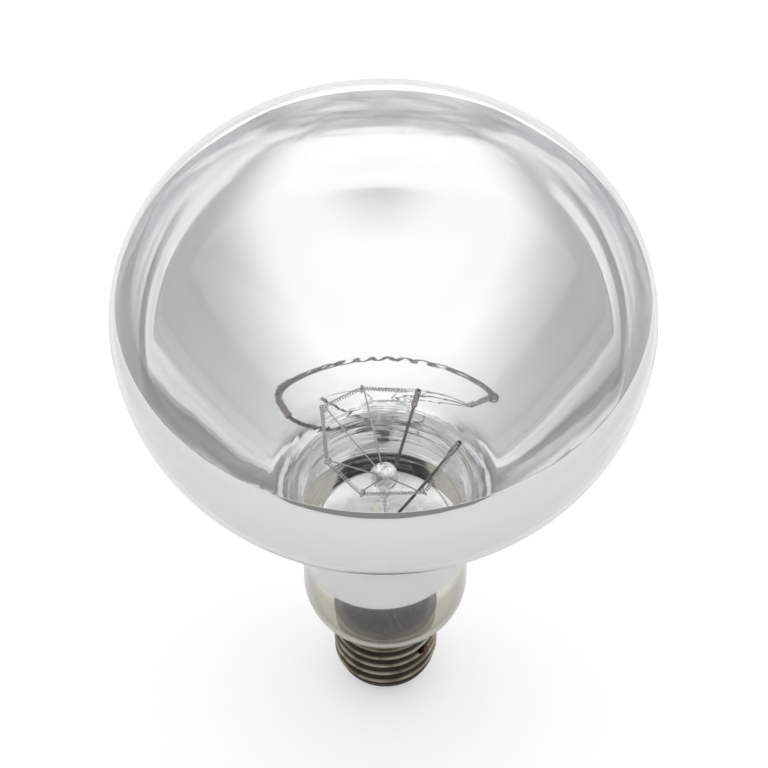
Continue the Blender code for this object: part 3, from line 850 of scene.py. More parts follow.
def step_mask(tools: NodeTools, effects: Effects, limits: tuple[float, float],
              axis: tuple[float, float, float] = UPWARD) -> bpy.types.NodeSocket:
    """A mask on Object coordinates that goes from 0 to 1 between two distances along an axis.

    Args:
        tools: tools of the material's node tree.
        effects: the shared effects.
        limits: distance at which the mask is 0, and that at which it is 1.
        axis: the axis.

    Returns:
        Socket with the mask.
    """
    values = {"From": limits[0], "To": limits[1], "Axis": axis}
    return add_effect(tools, effects.height_step, values).outputs["Mask"]


def add_bump(tools: NodeTools, height: bpy.types.NodeSocket, depth: float, shader: bpy.types.Node) -> None:
    """Raise the surface by a height, through the shader's normal.

    Args:
        tools: tools of the material's node tree.
        height: socket with the height.
        depth: how far, in metres, a height of one stands out.
        shader: the Principled shader.
    """
    bump = tools.add("ShaderNodeBump")
    bump.inputs["Distance"].default_value = depth
    tools.join(height, bump.inputs["Height"])
    tools.join(bump.outputs["Normal"], shader.inputs["Normal"])


# The bulb


@dataclass
class BulbShape:
    """Outline of the blown bulb, worked out from its arcs and set on the cap's rim."""

    radius: float = 62.5 * MM
    face_radius: float = 100 * MM
    face_shoulder: float = 26 * MM
    bowl_shoulder: float = 44 * MM
    flank_start: float = math.radians(31)
    flank_end: float = math.radians(41)
    junction: float = 32 * MM
    neck_radius: float = 20.5 * MM
    neck_length: float = 25.2 * MM
    neck_shoulder: float = 11.6 * MM
    throat_radius: float = 10.6 * MM
    throat_fillet: float = 2 * MM
    throat_length: float = 8 * MM
    rim_radius: float = 13.0 * MM
    cap_height: float = 27 * MM
    face_points: int = 40
    rim_points: int = 10
    bowl_points: int = 30
    shoulder_points: int = 22
    neck_points: int = 14
    throat_points: int = 8
    neck_bottom: float = field(init=False)
    neck_top: float = field(init=False)
    flank_radius: float = field(init=False)
    flank_centre: tuple[float, float] = field(init=False)
    widest: float = field(init=False)

    def __post_init__(self) -> None:
        """Stack the arcs from the cap's rim upwards."""
        reach = self.neck_shoulder + SEAT_GAP
        overhang = self.rim_radius - self.shoulder_centre
        self.neck_bottom = self.cap_height + math.sqrt(reach ** 2 - overhang ** 2)
        self.neck_top = self.neck_bottom + self.neck_length
        fillet_top = self.neck_radius + self.junction * (1 - math.cos(self.flank_end))
        flank_top = self.radius - self.bowl_shoulder * (1 - math.cos(self.flank_start))
        drop = math.cos(self.flank_start) - math.cos(self.flank_end)
        self.flank_radius = (flank_top - fillet_top) / drop
        height = self.neck_top + (self.junction + self.flank_radius) * math.sin(self.flank_end)
        self.flank_centre = (flank_top - self.flank_radius * math.cos(self.flank_start), height)
        self.widest = height - (self.flank_radius - self.bowl_shoulder) * math.sin(self.flank_start)

    @property
    def shoulder_centre(self) -> float:
        """Radius of the centre of the neck's shoulder arc."""
        return self.neck_radius - self.neck_shoulder

    @property
    def throat_angle(self) -> float:
        """Angle below the horizontal at which the neck's shoulder meets the throat's fillet."""
        offset = self.throat_radius + self.throat_fillet - self.shoulder_centre
        return math.acos(offset / (self.neck_shoulder + self.throat_fillet))

    @property
    def face_angle(self) -> float:
        """Angle above the horizontal at which the upper shoulder meets the face."""
        return math.acos((self.radius - self.face_shoulder) / (self.face_radius - self.face_shoulder))

    def face(self, inset: float) -> np.ndarray:
        """The domed face and the upper shoulder, from the apex out to the widest plane.

        Args:
            inset: distance inside the outer skin.

        Returns:
            Array of (radius, height) pairs.
        """
        join = self.face_angle
        low = self.widest - (self.face_radius - self.face_shoulder) * math.sin(join)
        dome = arc((0.0, low), self.face_radius - inset, math.pi / 2, join, self.face_points)
        dome[0, 0] = 0.0
        centre = (self.radius - self.face_shoulder, self.widest)
        return joined(dome, arc(centre, self.face_shoulder - inset, join, 0.0, self.face_points))

    def rim(self, inset: float, rise: float) -> np.ndarray:
        """The upper shoulder from a height above the widest plane down to that plane.

        Args:
            inset: distance inside the outer skin.
            rise: height above the widest plane.

        Returns:
            Array of (radius, height) pairs.
        """
        reach = self.face_shoulder - inset
        centre = (self.radius - self.face_shoulder, self.widest)
        return arc(centre, reach, math.asin(rise / reach), 0.0, self.rim_points)

    def bowl(self, inset: float) -> np.ndarray:
        """The bowl, from the widest plane down through the flank and the fillet to the neck's top.

        Args:
            inset: distance inside the outer skin.

        Returns:
            Array of (radius, height) pairs.
        """
        start, end = self.flank_start, self.flank_end
        top = (self.radius - self.bowl_shoulder, self.widest)
        shoulder = arc(top, self.bowl_shoulder - inset, 0.0, -start, self.bowl_points)
        flank = arc(self.flank_centre, self.flank_radius - inset, -start, -end, self.bowl_points)
        foot = (self.neck_radius + self.junction, self.neck_top)
        fillet = arc(foot, self.junction + inset, math.pi - end, math.pi, self.bowl_points)
        return joined(shoulder, flank, fillet)

    def neck(self, inset: float, end: float) -> np.ndarray:
        """The neck and its lower shoulder, down to an angle below the horizontal.

        Args:
            inset: distance inside the outer skin.
            end: the angle.

        Returns:
            Array of (radius, height) pairs.
        """
        top = (self.neck_radius - inset, self.neck_top)
        foot = (self.neck_radius - inset, self.neck_bottom)
        centre = (self.shoulder_centre, self.neck_bottom)
        shoulder = arc(centre, self.neck_shoulder - inset, 0.0, -end, self.shoulder_points)
        return joined(line(top, foot, self.neck_points), shoulder)

    def throat(self, inset: float) -> np.ndarray:
        """The throat's fillet and its straight end.

        Args:
            inset: distance inside the outer skin.

        Returns:
            Array of (radius, height) pairs.
        """
        angle = self.throat_angle
        drop = (self.neck_shoulder + self.throat_fillet) * math.sin(angle)
        centre = (self.throat_radius + self.throat_fillet, self.neck_bottom - drop)
        fillet = arc(centre, self.throat_fillet + inset, math.pi - angle, math.pi, self.throat_points)
        foot = (self.throat_radius - inset, centre[1] - self.throat_length)
        return joined(fillet, line(fillet[-1], foot, self.throat_points))

    def whole(self, inset: float) -> np.ndarray:
        """The whole outline, from the apex to the throat's end."""
        return joined(self.face(inset), self.bowl(inset), self.neck(inset, self.throat_angle),
                      self.throat(inset))


@dataclass
class SilveredBulb:
    """The clear glass envelope and the aluminium film on its inner side."""

    shape: BulbShape
    columns: int = 256
    glass_wall: float = 1.0 * MM
    film_gap: float = 0.02 * MM
    film_wall: float = 0.05 * MM
    film_rise: float = 8.0 * MM
    film_end: float = math.radians(56)
    corner_angle: float = math.radians(40)

    def build(self, effects: Effects) -> None:
        """Build and dress both pieces.

        Args:
            effects: the shared effects.
        """
        # The darker low colour is painted shade: it dims the clear glass below the film, where the shadowed
        # floor shows through the neck.
        glass = GlassFinish("clear_blown_glass", low_tint_and_shade=(0.67, 0.66, 0.60)).material(effects)
        mirror = MirrorFinish("aluminium_film").material(effects)
        place_piece("bulb_glass", self.glass_mesh(), glass, "glass_envelope")
        place_piece("bulb_silvering", self.film_mesh(), mirror, "reflector_film")

    def glass_mesh(self) -> bpy.types.Mesh:
        """The envelope: its outer outline down, then its inner outline back up to the apex."""
        outline = joined(self.shape.whole(0.0), self.shape.whole(self.glass_wall)[::-1])
        return mesh_from_grid("bulb_glass", turned(outline, self.columns))

    def film_outline(self, inset: float) -> np.ndarray:
        """One side of the film, from its upper edge down to its end on the neck's shoulder."""
        return joined(self.shape.rim(inset, self.film_rise), self.shape.bowl(inset),
                      self.shape.neck(inset, self.film_end))

    def film_mesh(self) -> bpy.types.Mesh:
        """The film as a closed skin, with its upper edge kept sharp."""
        outer = self.film_outline(self.glass_wall + self.film_gap)
        inner = self.film_outline(self.glass_wall + self.film_gap + self.film_wall)
        grid = turned(np.concatenate((outer, inner[::-1])), self.columns)
        mesh = mesh_from_grid("bulb_silvering", grid, closed_rows=True)
        keep_corners(mesh, self.corner_angle)
        return mesh


# The cap


@dataclass
class ScrewCap:
    """The rolled cap shell with its slit, the solder bead, insulator, contact plate, drop and cement."""

    columns: int = 288
    height: float = 27 * MM
    crest_radius: float = 13.2 * MM
    root_radius: float = 12.13 * MM
    pitch: float = 3.629 * MM
    phase_height: float = 18.2 * MM
    thread_top: float = 23.8 * MM
    thread_bottom: float = 5.2 * MM
    collar_radius: float = 13.1 * MM
    rim_radius: float = 13.35 * MM
    lip: float = 0.7 * MM
    edge_radius: float = 12.6 * MM
    edge_height: float = 5.0 * MM
    flange_radius: float = 12.0 * MM
    flange_depth: float = 1.7 * MM
    sheet: float = 0.35 * MM
    unshaded_crest_depth: float = 0.02 * MM
    hollow_shade_depth: float = 0.55 * MM
    slit_angle: float = math.radians(-38.5)
    slit_height: float = 16.8 * MM
    slit_length: float = 4.2 * MM
    slit_opening: float = 0.8 * MM
    slit_tilt: float = math.radians(42)
    slit_depth: float = 4 * MM
    slit_widening: float = 1.5
    slit_taper: float = 0.35
    bead_radius: float = 1.4 * MM
    bead_share: float = 0.30
    bead_swell: float = 0.12
    bead_lump: float = 1.1 * MM
    bead_seed: int = 9
    bead_outer: float = 0.55
    bead_inner: float = 0.2
    insulator_wall: float = 2.2 * MM
    plug_rise: float = 2.7 * MM
    flange_round: float = 0.25 * MM
    cone_inset: float = 0.3 * MM
    cone_foot: tuple[float, float] = (5.6 * MM, 1.7 * MM)
    cone_power: float = 1.6
    insulator_hole: float = 1.3 * MM
    hollow_low: float = 3.7 * MM
    hollow_high: float = 5.7 * MM
    plate_radius: float = 4.9 * MM
    plate_hole: float = 1.2 * MM
    plate_low: float = 0.5 * MM
    plate_high: float = 1.4 * MM
    plate_round: float = 0.35 * MM
    drop_radius: float = 2.3 * MM
    drop_tip: float = 1.3 * MM
    drop_height: float = 0.2 * MM
    drop_plug: float = 0.9 * MM
    thread_points: int = 150
    small_columns: int = 96
    drop_columns: int = 64
    sharp_angle: float = math.radians(35)
    slit_sharp_angle: float = math.radians(50)

    def build(self, effects: Effects) -> None:
        """Build and dress the cap's pieces.

        Args:
            effects: the shared effects.
        """
        # The nickel's darkening in the thread's valleys is painted shade.
        nickel = MetalFinish("worn_nickel", clean=(0.46, 0.415, 0.335), stain=(0.17, 0.14, 0.10),
                             stain_amount=0.85, stain_scale=190.0, low_roughness=0.24, high_roughness=0.46,
                             grain_scale=700.0, ridge=self.crest_radius - self.unshaded_crest_depth,
                             hollow=self.root_radius + self.hollow_shade_depth, hollow_shade_amount=0.93).material(effects)
        tin = MetalFinish("heated_solder", clean=(0.20, 0.13, 0.09), stain=(0.07, 0.035, 0.025),
                          stain_amount=0.8, stain_scale=500.0, low_roughness=0.3,
                          high_roughness=0.5).material(effects)
        drop_tin = MetalFinish("bright_solder", clean=(0.66, 0.66, 0.64), stain=(0.42, 0.41, 0.38),
                               stain_amount=0.6, stain_scale=400.0).material(effects)
        brass = MetalFinish("contact_brass", clean=(0.62, 0.56, 0.44), stain=(0.36, 0.29, 0.20),
                            low_roughness=0.25).material(effects)
        black = MetalFinish("black_vitreous", clean=(0.012, 0.011, 0.011), stain=(0.03, 0.027, 0.025),
                            stain_amount=0.7, stain_scale=260.0, low_roughness=0.08, high_roughness=0.25,
                            metallic=0.0).material(effects)
        buff = MetalFinish("fired_cement", clean=(0.12, 0.105, 0.07), stain=(0.06, 0.05, 0.03),
                           stain_amount=0.8, stain_scale=500.0, low_roughness=0.7, high_roughness=0.9,
                           grain_depth=0.0001, metallic=0.0).material(effects)
        place_piece("threaded_shell", self.shell_mesh(), nickel, "cap_shell")
        place_piece("slit_solder", self.bead_mesh(), tin, "side_solder")
        place_piece("vitreous_insulator", self.insulator_mesh(), black, "cap_insulator")
        place_piece("contact_plate", self.plate_mesh(), brass, "centre_contact")
        place_piece("contact_drop", self.drop_mesh(), drop_tin, "contact_solder")
        dress_node("cap_cement", buff)

    def lift(self, turn: np.ndarray, height: np.ndarray) -> np.ndarray:
        """Stand-off of the rolled thread: half its depth times the cosine of the turns, faded at both ends.

        Args:
            turn: angle round the axis.
            height: height of each point.

        Returns:
            Distance from the thread's mean radius.
        """
        inside = np.minimum(self.thread_top - height, height - self.thread_bottom)
        fade = smooth(inside / (self.pitch / 2))
        turns = (height - self.phase_height) / self.pitch - (turn + math.pi / 2) / math.tau
        return fade * (self.crest_radius - self.root_radius) / 2 * np.cos(math.tau * turns)

    def sheet_outline(self) -> np.ndarray:
        """Outer outline of the shell before its thread is rolled."""
        mean = (self.crest_radius + self.root_radius) / 2
        lip_low = self.height - self.lip
        bend = self.lip / 2
        lip = arc((self.rim_radius - bend, lip_low + bend), bend, math.pi / 2, -math.pi / 2, 9)
        collar_top = (self.collar_radius, lip_low - bend)
        collar = line(collar_top, (self.collar_radius, self.thread_top + self.lip), 8)
        thread = line((mean, self.thread_top), (mean, self.thread_bottom), self.thread_points)
        edge = line((mean, self.thread_bottom), (self.edge_radius, self.edge_height), 8)
        return joined(lip, collar, thread, edge)

    def shell_mesh(self) -> bpy.types.Mesh:
        """The shell: outline turned, thread pressed in, wall added inward and the slit cut."""
        outer = self.sheet_outline()
        inner = outer - np.array([self.sheet, 0.0])
        grid = turned(np.concatenate((outer, inner[::-1])), self.columns)
        turn = np.arctan2(grid[..., 1], grid[..., 0])
        radius = np.hypot(grid[..., 0], grid[..., 1])
        radius = radius + self.lift(turn, grid[..., 2])
        grid[..., 0] = radius * np.cos(turn)
        grid[..., 1] = radius * np.sin(turn)
        shell = mesh_from_grid("threaded_shell", grid, closed_rows=True)
        block = bpy.data.meshes.new("slit")
        work = bmesh.new()
        bmesh.ops.create_cube(work, size=1.0)
        wedge = [vertex for vertex in work.verts if vertex.co.y < 0]
        bmesh.ops.scale(work, vec=(1.0, 1.0, self.slit_taper), verts=wedge)
        size = (self.slit_depth, self.slit_length, self.slit_widening * self.slit_opening)
        bmesh.ops.scale(work, vec=size, verts=work.verts)
        work.to_mesh(block)
        work.free()
        result = cut_away(shell, [cutter_from(block, self.slit_place(0.0))])
        keep_corners(result, self.slit_sharp_angle)
        return result

    def slit_place(self, share: float) -> Matrix:
        """Place on the slit at a share of its length down from its middle, with X pointing outward.

        Args:
            share: share of the slit's length.

        Returns:
            The place as a matrix.
        """
        around = Matrix.Rotation(self.slit_angle, 4, "Z")
        tilt = Matrix.Rotation(self.slit_tilt, 4, "X")
        out = Matrix.Translation((self.crest_radius, 0.0, self.slit_height))
        return around @ out @ tilt @ Matrix.Translation((0.0, -share * self.slit_length, 0.0))

    def bead_mesh(self) -> bpy.types.Mesh:
        """The solder bead: a flattened ball with an uneven surface, set on the thread."""
        up = np.linspace(math.pi / 2, -math.pi / 2, 30)
        grid = turned(np.column_stack((np.cos(up), np.sin(up))) * self.bead_radius, 40)
        grid[[0, -1], :, :2] = 0.0
        grid = grid * (1 + self.bead_swell * ripple(grid, self.bead_lump, self.bead_seed))[..., None]
        grid[..., 0] *= np.where(grid[..., 0] > 0, self.bead_outer, self.bead_inner)
        grid[..., 0] += SEAT_GAP
        place = np.array(self.slit_place(self.bead_share))
        grid = grid @ place[:3, :3].T + place[:3, 3]
        return mesh_from_grid("slit_solder", grid)

    def insulator_mesh(self) -> bpy.types.Mesh:
        """The insulator: plug inside the shell, flange under its edge and a fluted hollow cone."""
        plug = self.root_radius - self.sheet - SEAT_GAP
        bore = plug - self.insulator_wall
        top = self.edge_height + self.plug_rise
        flange_top = self.edge_height - SEAT_GAP
        flange_low = flange_top - self.flange_depth
        foot, hole, bend = self.cone_foot, self.insulator_hole, self.flange_round
        outline = joined(line((bore, top), (plug, top), 3), line((plug, top), (plug, flange_top), 3),
                         line((plug, flange_top), (self.flange_radius, flange_top), 3),
                         arc((self.flange_radius - bend, flange_low + bend), bend, 0, -math.pi / 2, 6),
                         self.cone_flank((self.flange_radius - self.cone_inset, flange_low), 20),
                         line(foot, (hole, foot[1]), 4), line((hole, foot[1]), (hole, self.hollow_low), 3),
                         line((hole, self.hollow_low), (bore, self.hollow_high), 6))
        mesh = mesh_from_grid("vitreous_insulator", turned(outline, self.small_columns), closed_rows=True)
        keep_corners(mesh, self.sharp_angle)
        return mesh

    def cone_flank(self, start: tuple[float, float], count: int) -> np.ndarray:
        """The cone's concave flank: its height falls first fast and then slowly as the radius shrinks.

        Args:
            start: outer (radius, height).
            count: number of points.

        Returns:
            Array of (radius, height) pairs.
        """
        share = np.linspace(0.0, 1.0, count)
        radius = start[0] + (self.cone_foot[0] - start[0]) * share
        height = self.cone_foot[1] + (start[1] - self.cone_foot[1]) * (1 - share) ** self.cone_power
        return np.column_stack((radius, height))

    def plate_mesh(self) -> bpy.types.Mesh:
        """The contact plate: a disc with a rounded edge and a hole."""
        outer, hole, low, high = self.plate_radius, self.plate_hole, self.plate_low, self.plate_high
        bend = self.plate_round
        outline = joined(line((hole, high), (outer, high), 4), line((outer, high), (outer, low + bend), 3),
                         arc((outer - bend, low + bend), bend, 0, -math.pi / 2, 8),
                         line((outer - bend, low), (hole, low), 6))
        mesh = mesh_from_grid("contact_plate", turned(outline, self.small_columns), closed_rows=True)
        keep_corners(mesh, self.sharp_angle)
        return mesh

    def drop_mesh(self) -> bpy.types.Mesh:
        """The solder drop: a plug through the plate and a low dome with a flat tip."""
        radius, height, plug, top = self.drop_radius, self.drop_height, self.drop_plug, self.plate_high
        fall = np.linspace(0, 1, 12)
        dome = np.column_stack((radius - (radius - self.drop_tip) * fall ** 2, height * (1 - fall)))
        outline = joined(line((0.0, top), (plug, top), 4), line((plug, top), (plug, height), 4),
                         line((plug, height), (radius, height), 4), dome, line(dome[-1], (0.0, 0.0), 4))
        mesh = mesh_from_grid("contact_drop", turned(outline, self.drop_columns))
        keep_corners(mesh, self.sharp_angle)
        return mesh


def dress_node(node: str, material: bpy.types.Material) -> None:
    """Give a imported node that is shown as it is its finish.

    Args:
        node: name of the node.
        material: the finish.
    """
    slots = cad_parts[node].data.materials
    slots.clear()
    slots.append(material)
    log.info("%s dressed", node)


# The mount


@dataclass
class MountShape:
    """Places inside the bulb that several pieces of the mount share."""

    press_top: float = 58.48 * MM
    press_height: float = 10 * MM
    taper_height: float = 6 * MM
    lead_spacing: float = 9 * MM
    lead_radius: float = 0.4 * MM
    bend_height: float = 62.5 * MM
    button_height: float = 80.2 * MM
    button_radius: float = 3.7 * MM
    coil_height: float = 95.9 * MM
    coil_radius: float = 0.55 * MM
    ring_radius: float = 17 * MM
    corner_radius: float = 1.4 * MM
    corner_angles: tuple[float, ...] = (60.0, 109.0, 147.0, 205.0, 251.0, 301.0, 356.0)
    corner_shares: tuple[float, ...] = (0.97, 0.96, 1.05, 0.89, 1.00, 1.09, 1.05)

    def corners(self) -> np.ndarray:
        """Corners of the filament's open ring, from the tip of lead A round to the tip of lead B."""
        turn = np.radians(self.corner_angles)
        reach = self.ring_radius * np.array(self.corner_shares)
        height = np.full(len(turn), self.coil_height)
        return np.column_stack((reach * np.cos(turn), reach * np.sin(turn), height))


@dataclass
class Stem:
    """The foot of the mount: glass stem, exhaust tube, rod with its button, and the heat shield."""

    mount: MountShape
    tube_radius: float = 6.5 * MM
    wall: float = 1.0 * MM
    foot_height: float = 17.5 * MM
    foot_radius: float = 9.3 * MM
    flare_height: float = 7 * MM
    press_width: float = 13 * MM
    press_thickness: float = 3.8 * MM
    rod_radius: float = 1.4 * MM
    shield_radius: float = 16.9 * MM
    shield_sheet: float = 0.4 * MM
    shield_rim: float = 1.2 * MM
    shield_bend: float = 0.8 * MM
    shield_hole_gap: float = 0.15 * MM
    slot_size: tuple[float, float, float] = (1.75 * MM, 2.0 * MM, 2 * MM)
    slot_offset: tuple[float, float] = (1.15 * MM, 0.4 * MM)
    foot_round: float = 0.6 * MM
    flare_power: float = 2.2
    flare_bend: float = 0.4
    bore_run: float = 2 * MM
    exhaust_radius: float = 2.0 * MM
    exhaust_bore: float = 1.3 * MM
    exhaust_tip: float = 9.5 * MM
    button_squeeze: float = 0.05
    button_dents: tuple[tuple[float, float, int], ...] = ((0.05, 3.2 * MM, 21), (0.02, 1.2 * MM, 22))
    stem_columns: int = 72
    exhaust_columns: int = 40
    rod_columns: int = 80
    shield_columns: int = 128
    slot_columns: int = 32
    exhaust_sharp_angle: float = math.radians(40)
    shield_sharp_angle: float = math.radians(35)

    def build(self, effects: Effects) -> None:
        """Build and dress the foot's pieces.

        Args:
            effects: the shared effects.
        """
        tube_glass = GlassFinish("exhaust_tube_glass", tint=(0.95, 0.965, 0.96), roughness=0.02,
                                 low_tint_and_shade=(0.86, 0.84, 0.77), wave_scale=150.0)
        glass = replace(tube_glass, name="pressed_stem_glass", wave_depth=0.0001).material(effects)
        rod_glass = GlassFinish("pressed_button_glass", tint=(0.96, 0.965, 0.965), wave_scale=500.0,
                                wave_fine_share=0.3, wave_depth=0.0005).material(effects)
        bright = MetalFinish("bright_shield", clean=(0.84, 0.84, 0.83), stain=(0.55, 0.50, 0.42),
                             stain_amount=0.25, stain_scale=160.0, low_roughness=0.12, high_roughness=0.24,
                             grain_scale=500.0).material(effects)
        place_piece("stem_press", self.stem_mesh(), glass, "stem")
        place_piece("exhaust_pipe", self.exhaust_mesh(), tube_glass.material(effects),
                    "exhaust_tube")
        place_piece("rod_and_button", self.rod_mesh(), rod_glass, "arbor_rod")
        place_piece("shield_disc", self.shield_mesh(), bright, "heat_shield")

    def stem_mesh(self) -> bpy.types.Mesh:
        """The stem: a turned tube, then squeezed: x and y shrink or grow by a smooth share of the height."""
        top, radius, foot, wall = self.mount.press_top, self.tube_radius, self.foot_height, self.wall
        press_low = top - self.mount.press_height
        squeeze = press_low - self.mount.taper_height
        drop = (1 - np.linspace(0, 1, 16)) ** self.flare_power
        spreading = (self.foot_radius - radius) * (1 - drop ** self.flare_bend) ** 2
        flare = np.linspace(foot + self.flare_height, foot + wall, 16)
        bend = self.foot_round
        outer = joined(line((0, top), (radius - bend, top), 6),
                       arc((radius - bend, top - bend), bend, math.pi / 2, 0, 6),
                       line((radius, top - bend), (radius, flare[0]), 40),
                       np.column_stack((radius + spreading, flare)),
                       line((self.foot_radius, foot + wall), (self.foot_radius, foot), 3))
        bore, bore_top, hollow_top = radius - wall, squeeze + self.bore_run, press_low - wall
        inner = joined(line((self.foot_radius, foot), (self.foot_radius - wall, foot), 3),
                       np.column_stack((bore + spreading, flare - wall))[::-1],
                       line((bore, flare[0]), (bore, bore_top), 20),
                       line((bore, bore_top), (bore / 2, hollow_top), 6),
                       line((bore / 2, hollow_top), (0, hollow_top), 4))
        grid = turned(joined(outer, inner), self.stem_columns)
        share = smooth((grid[..., 2] - squeeze) / self.mount.taper_height)
        grid[..., 0] *= 1 + share * (self.press_thickness / (2 * radius) - 1)
        grid[..., 1] *= 1 + share * (self.press_width / (2 * radius) - 1)
        return mesh_from_grid("stem_press", grid)

    def exhaust_mesh(self) -> bpy.types.Mesh:
        """The exhaust tube: open at the top and drawn to a closed tip."""
        top = self.mount.press_top - self.mount.press_height - self.mount.taper_height / 2
        outer, inner, tip = self.exhaust_radius, self.exhaust_bore, self.exhaust_tip
        bore = arc((0, tip + outer), inner, -math.pi / 2, 0, 10)
        ball = arc((0, tip + outer), outer, 0, -math.pi / 2, 14)
        bore[0, 0] = 0.0
        ball[-1, 0] = 0.0
        outline = joined(bore, line(bore[-1], (inner, top), 10), line((inner, top), (outer, top), 3),
                         line((outer, top), ball[0], 10), ball)
        mesh = mesh_from_grid("exhaust_pipe", turned(outline, self.exhaust_columns))
        keep_corners(mesh, self.exhaust_sharp_angle)
        return mesh

    def rod_mesh(self) -> bpy.types.Mesh:
        """The rod with its button, whose ball is pressed uneven between jaws."""
        neck = math.acos(self.rod_radius / self.mount.button_radius)
        ball = arc((0, self.mount.button_height), self.mount.button_radius, math.pi / 2, -neck, 60)
        ball[0, 0] = 0.0
        foot = self.mount.press_top + SEAT_GAP
        outline = joined(ball, line(ball[-1], (self.rod_radius, foot), 40),
                         line((self.rod_radius, foot), (0, foot), 3))
        grid = turned(outline, self.rod_columns)
        low = self.mount.button_height - self.mount.button_radius
        rise = np.clip((grid[..., 2] - low) / self.mount.button_radius, 0, 1)
        dents = sum(depth * ripple(grid, length, seed) for depth, length, seed in self.button_dents)
        kept = np.minimum(1 - rise * (self.button_squeeze + dents), 1.0)
        grid[..., :2] *= kept[..., None]
        return mesh_from_grid("rod_and_button", grid)

    def shield_mesh(self) -> bpy.types.Mesh:
        """The heat shield: a disc with a turned-down rim, a hole for the rod and a slot at each lead."""
        low = self.mount.press_top + SEAT_GAP
        high = low + self.shield_sheet
        hole = self.rod_radius + self.shield_hole_gap
        rim, sheet, bend = self.shield_radius, self.shield_sheet, self.shield_bend
        rim_low, inner_bend = low - self.shield_rim, bend - sheet
        outline = joined(line((hole, high), (rim - bend, high), 40),
                         arc((rim - bend, high - bend), bend, math.pi / 2, 0, 8),
                         line((rim, high - bend), (rim, rim_low), 4),
                         line((rim, rim_low), (rim - sheet, rim_low), 2),
                         line((rim - sheet, rim_low), (rim - sheet, low - inner_bend), 3),
                         arc((rim - bend, low - inner_bend), inner_bend, 0, math.pi / 2, 6),
                         line((rim - bend, low), (hole, low), 30))
        mesh = mesh_from_grid("shield_disc", turned(outline, self.shield_columns), closed_rows=True)
        cutters = []
        for side in Side:
            drum = np.array([[0, 1], [1, 1], [1, -1], [0, -1]], float)
            slot = mesh_from_grid("slot", turned(drum, self.slot_columns))
            slot.transform(Matrix.Diagonal((*self.slot_size, 1.0)))
            across, beyond = self.slot_offset
            at = (-side.value * across, side.value * (self.mount.lead_spacing / 2 + beyond), low)
            cutters.append(cutter_from(slot, Matrix.Translation(at)))
        result = cut_away(mesh, cutters)
        keep_corners(result, self.shield_sharp_angle)
        return result


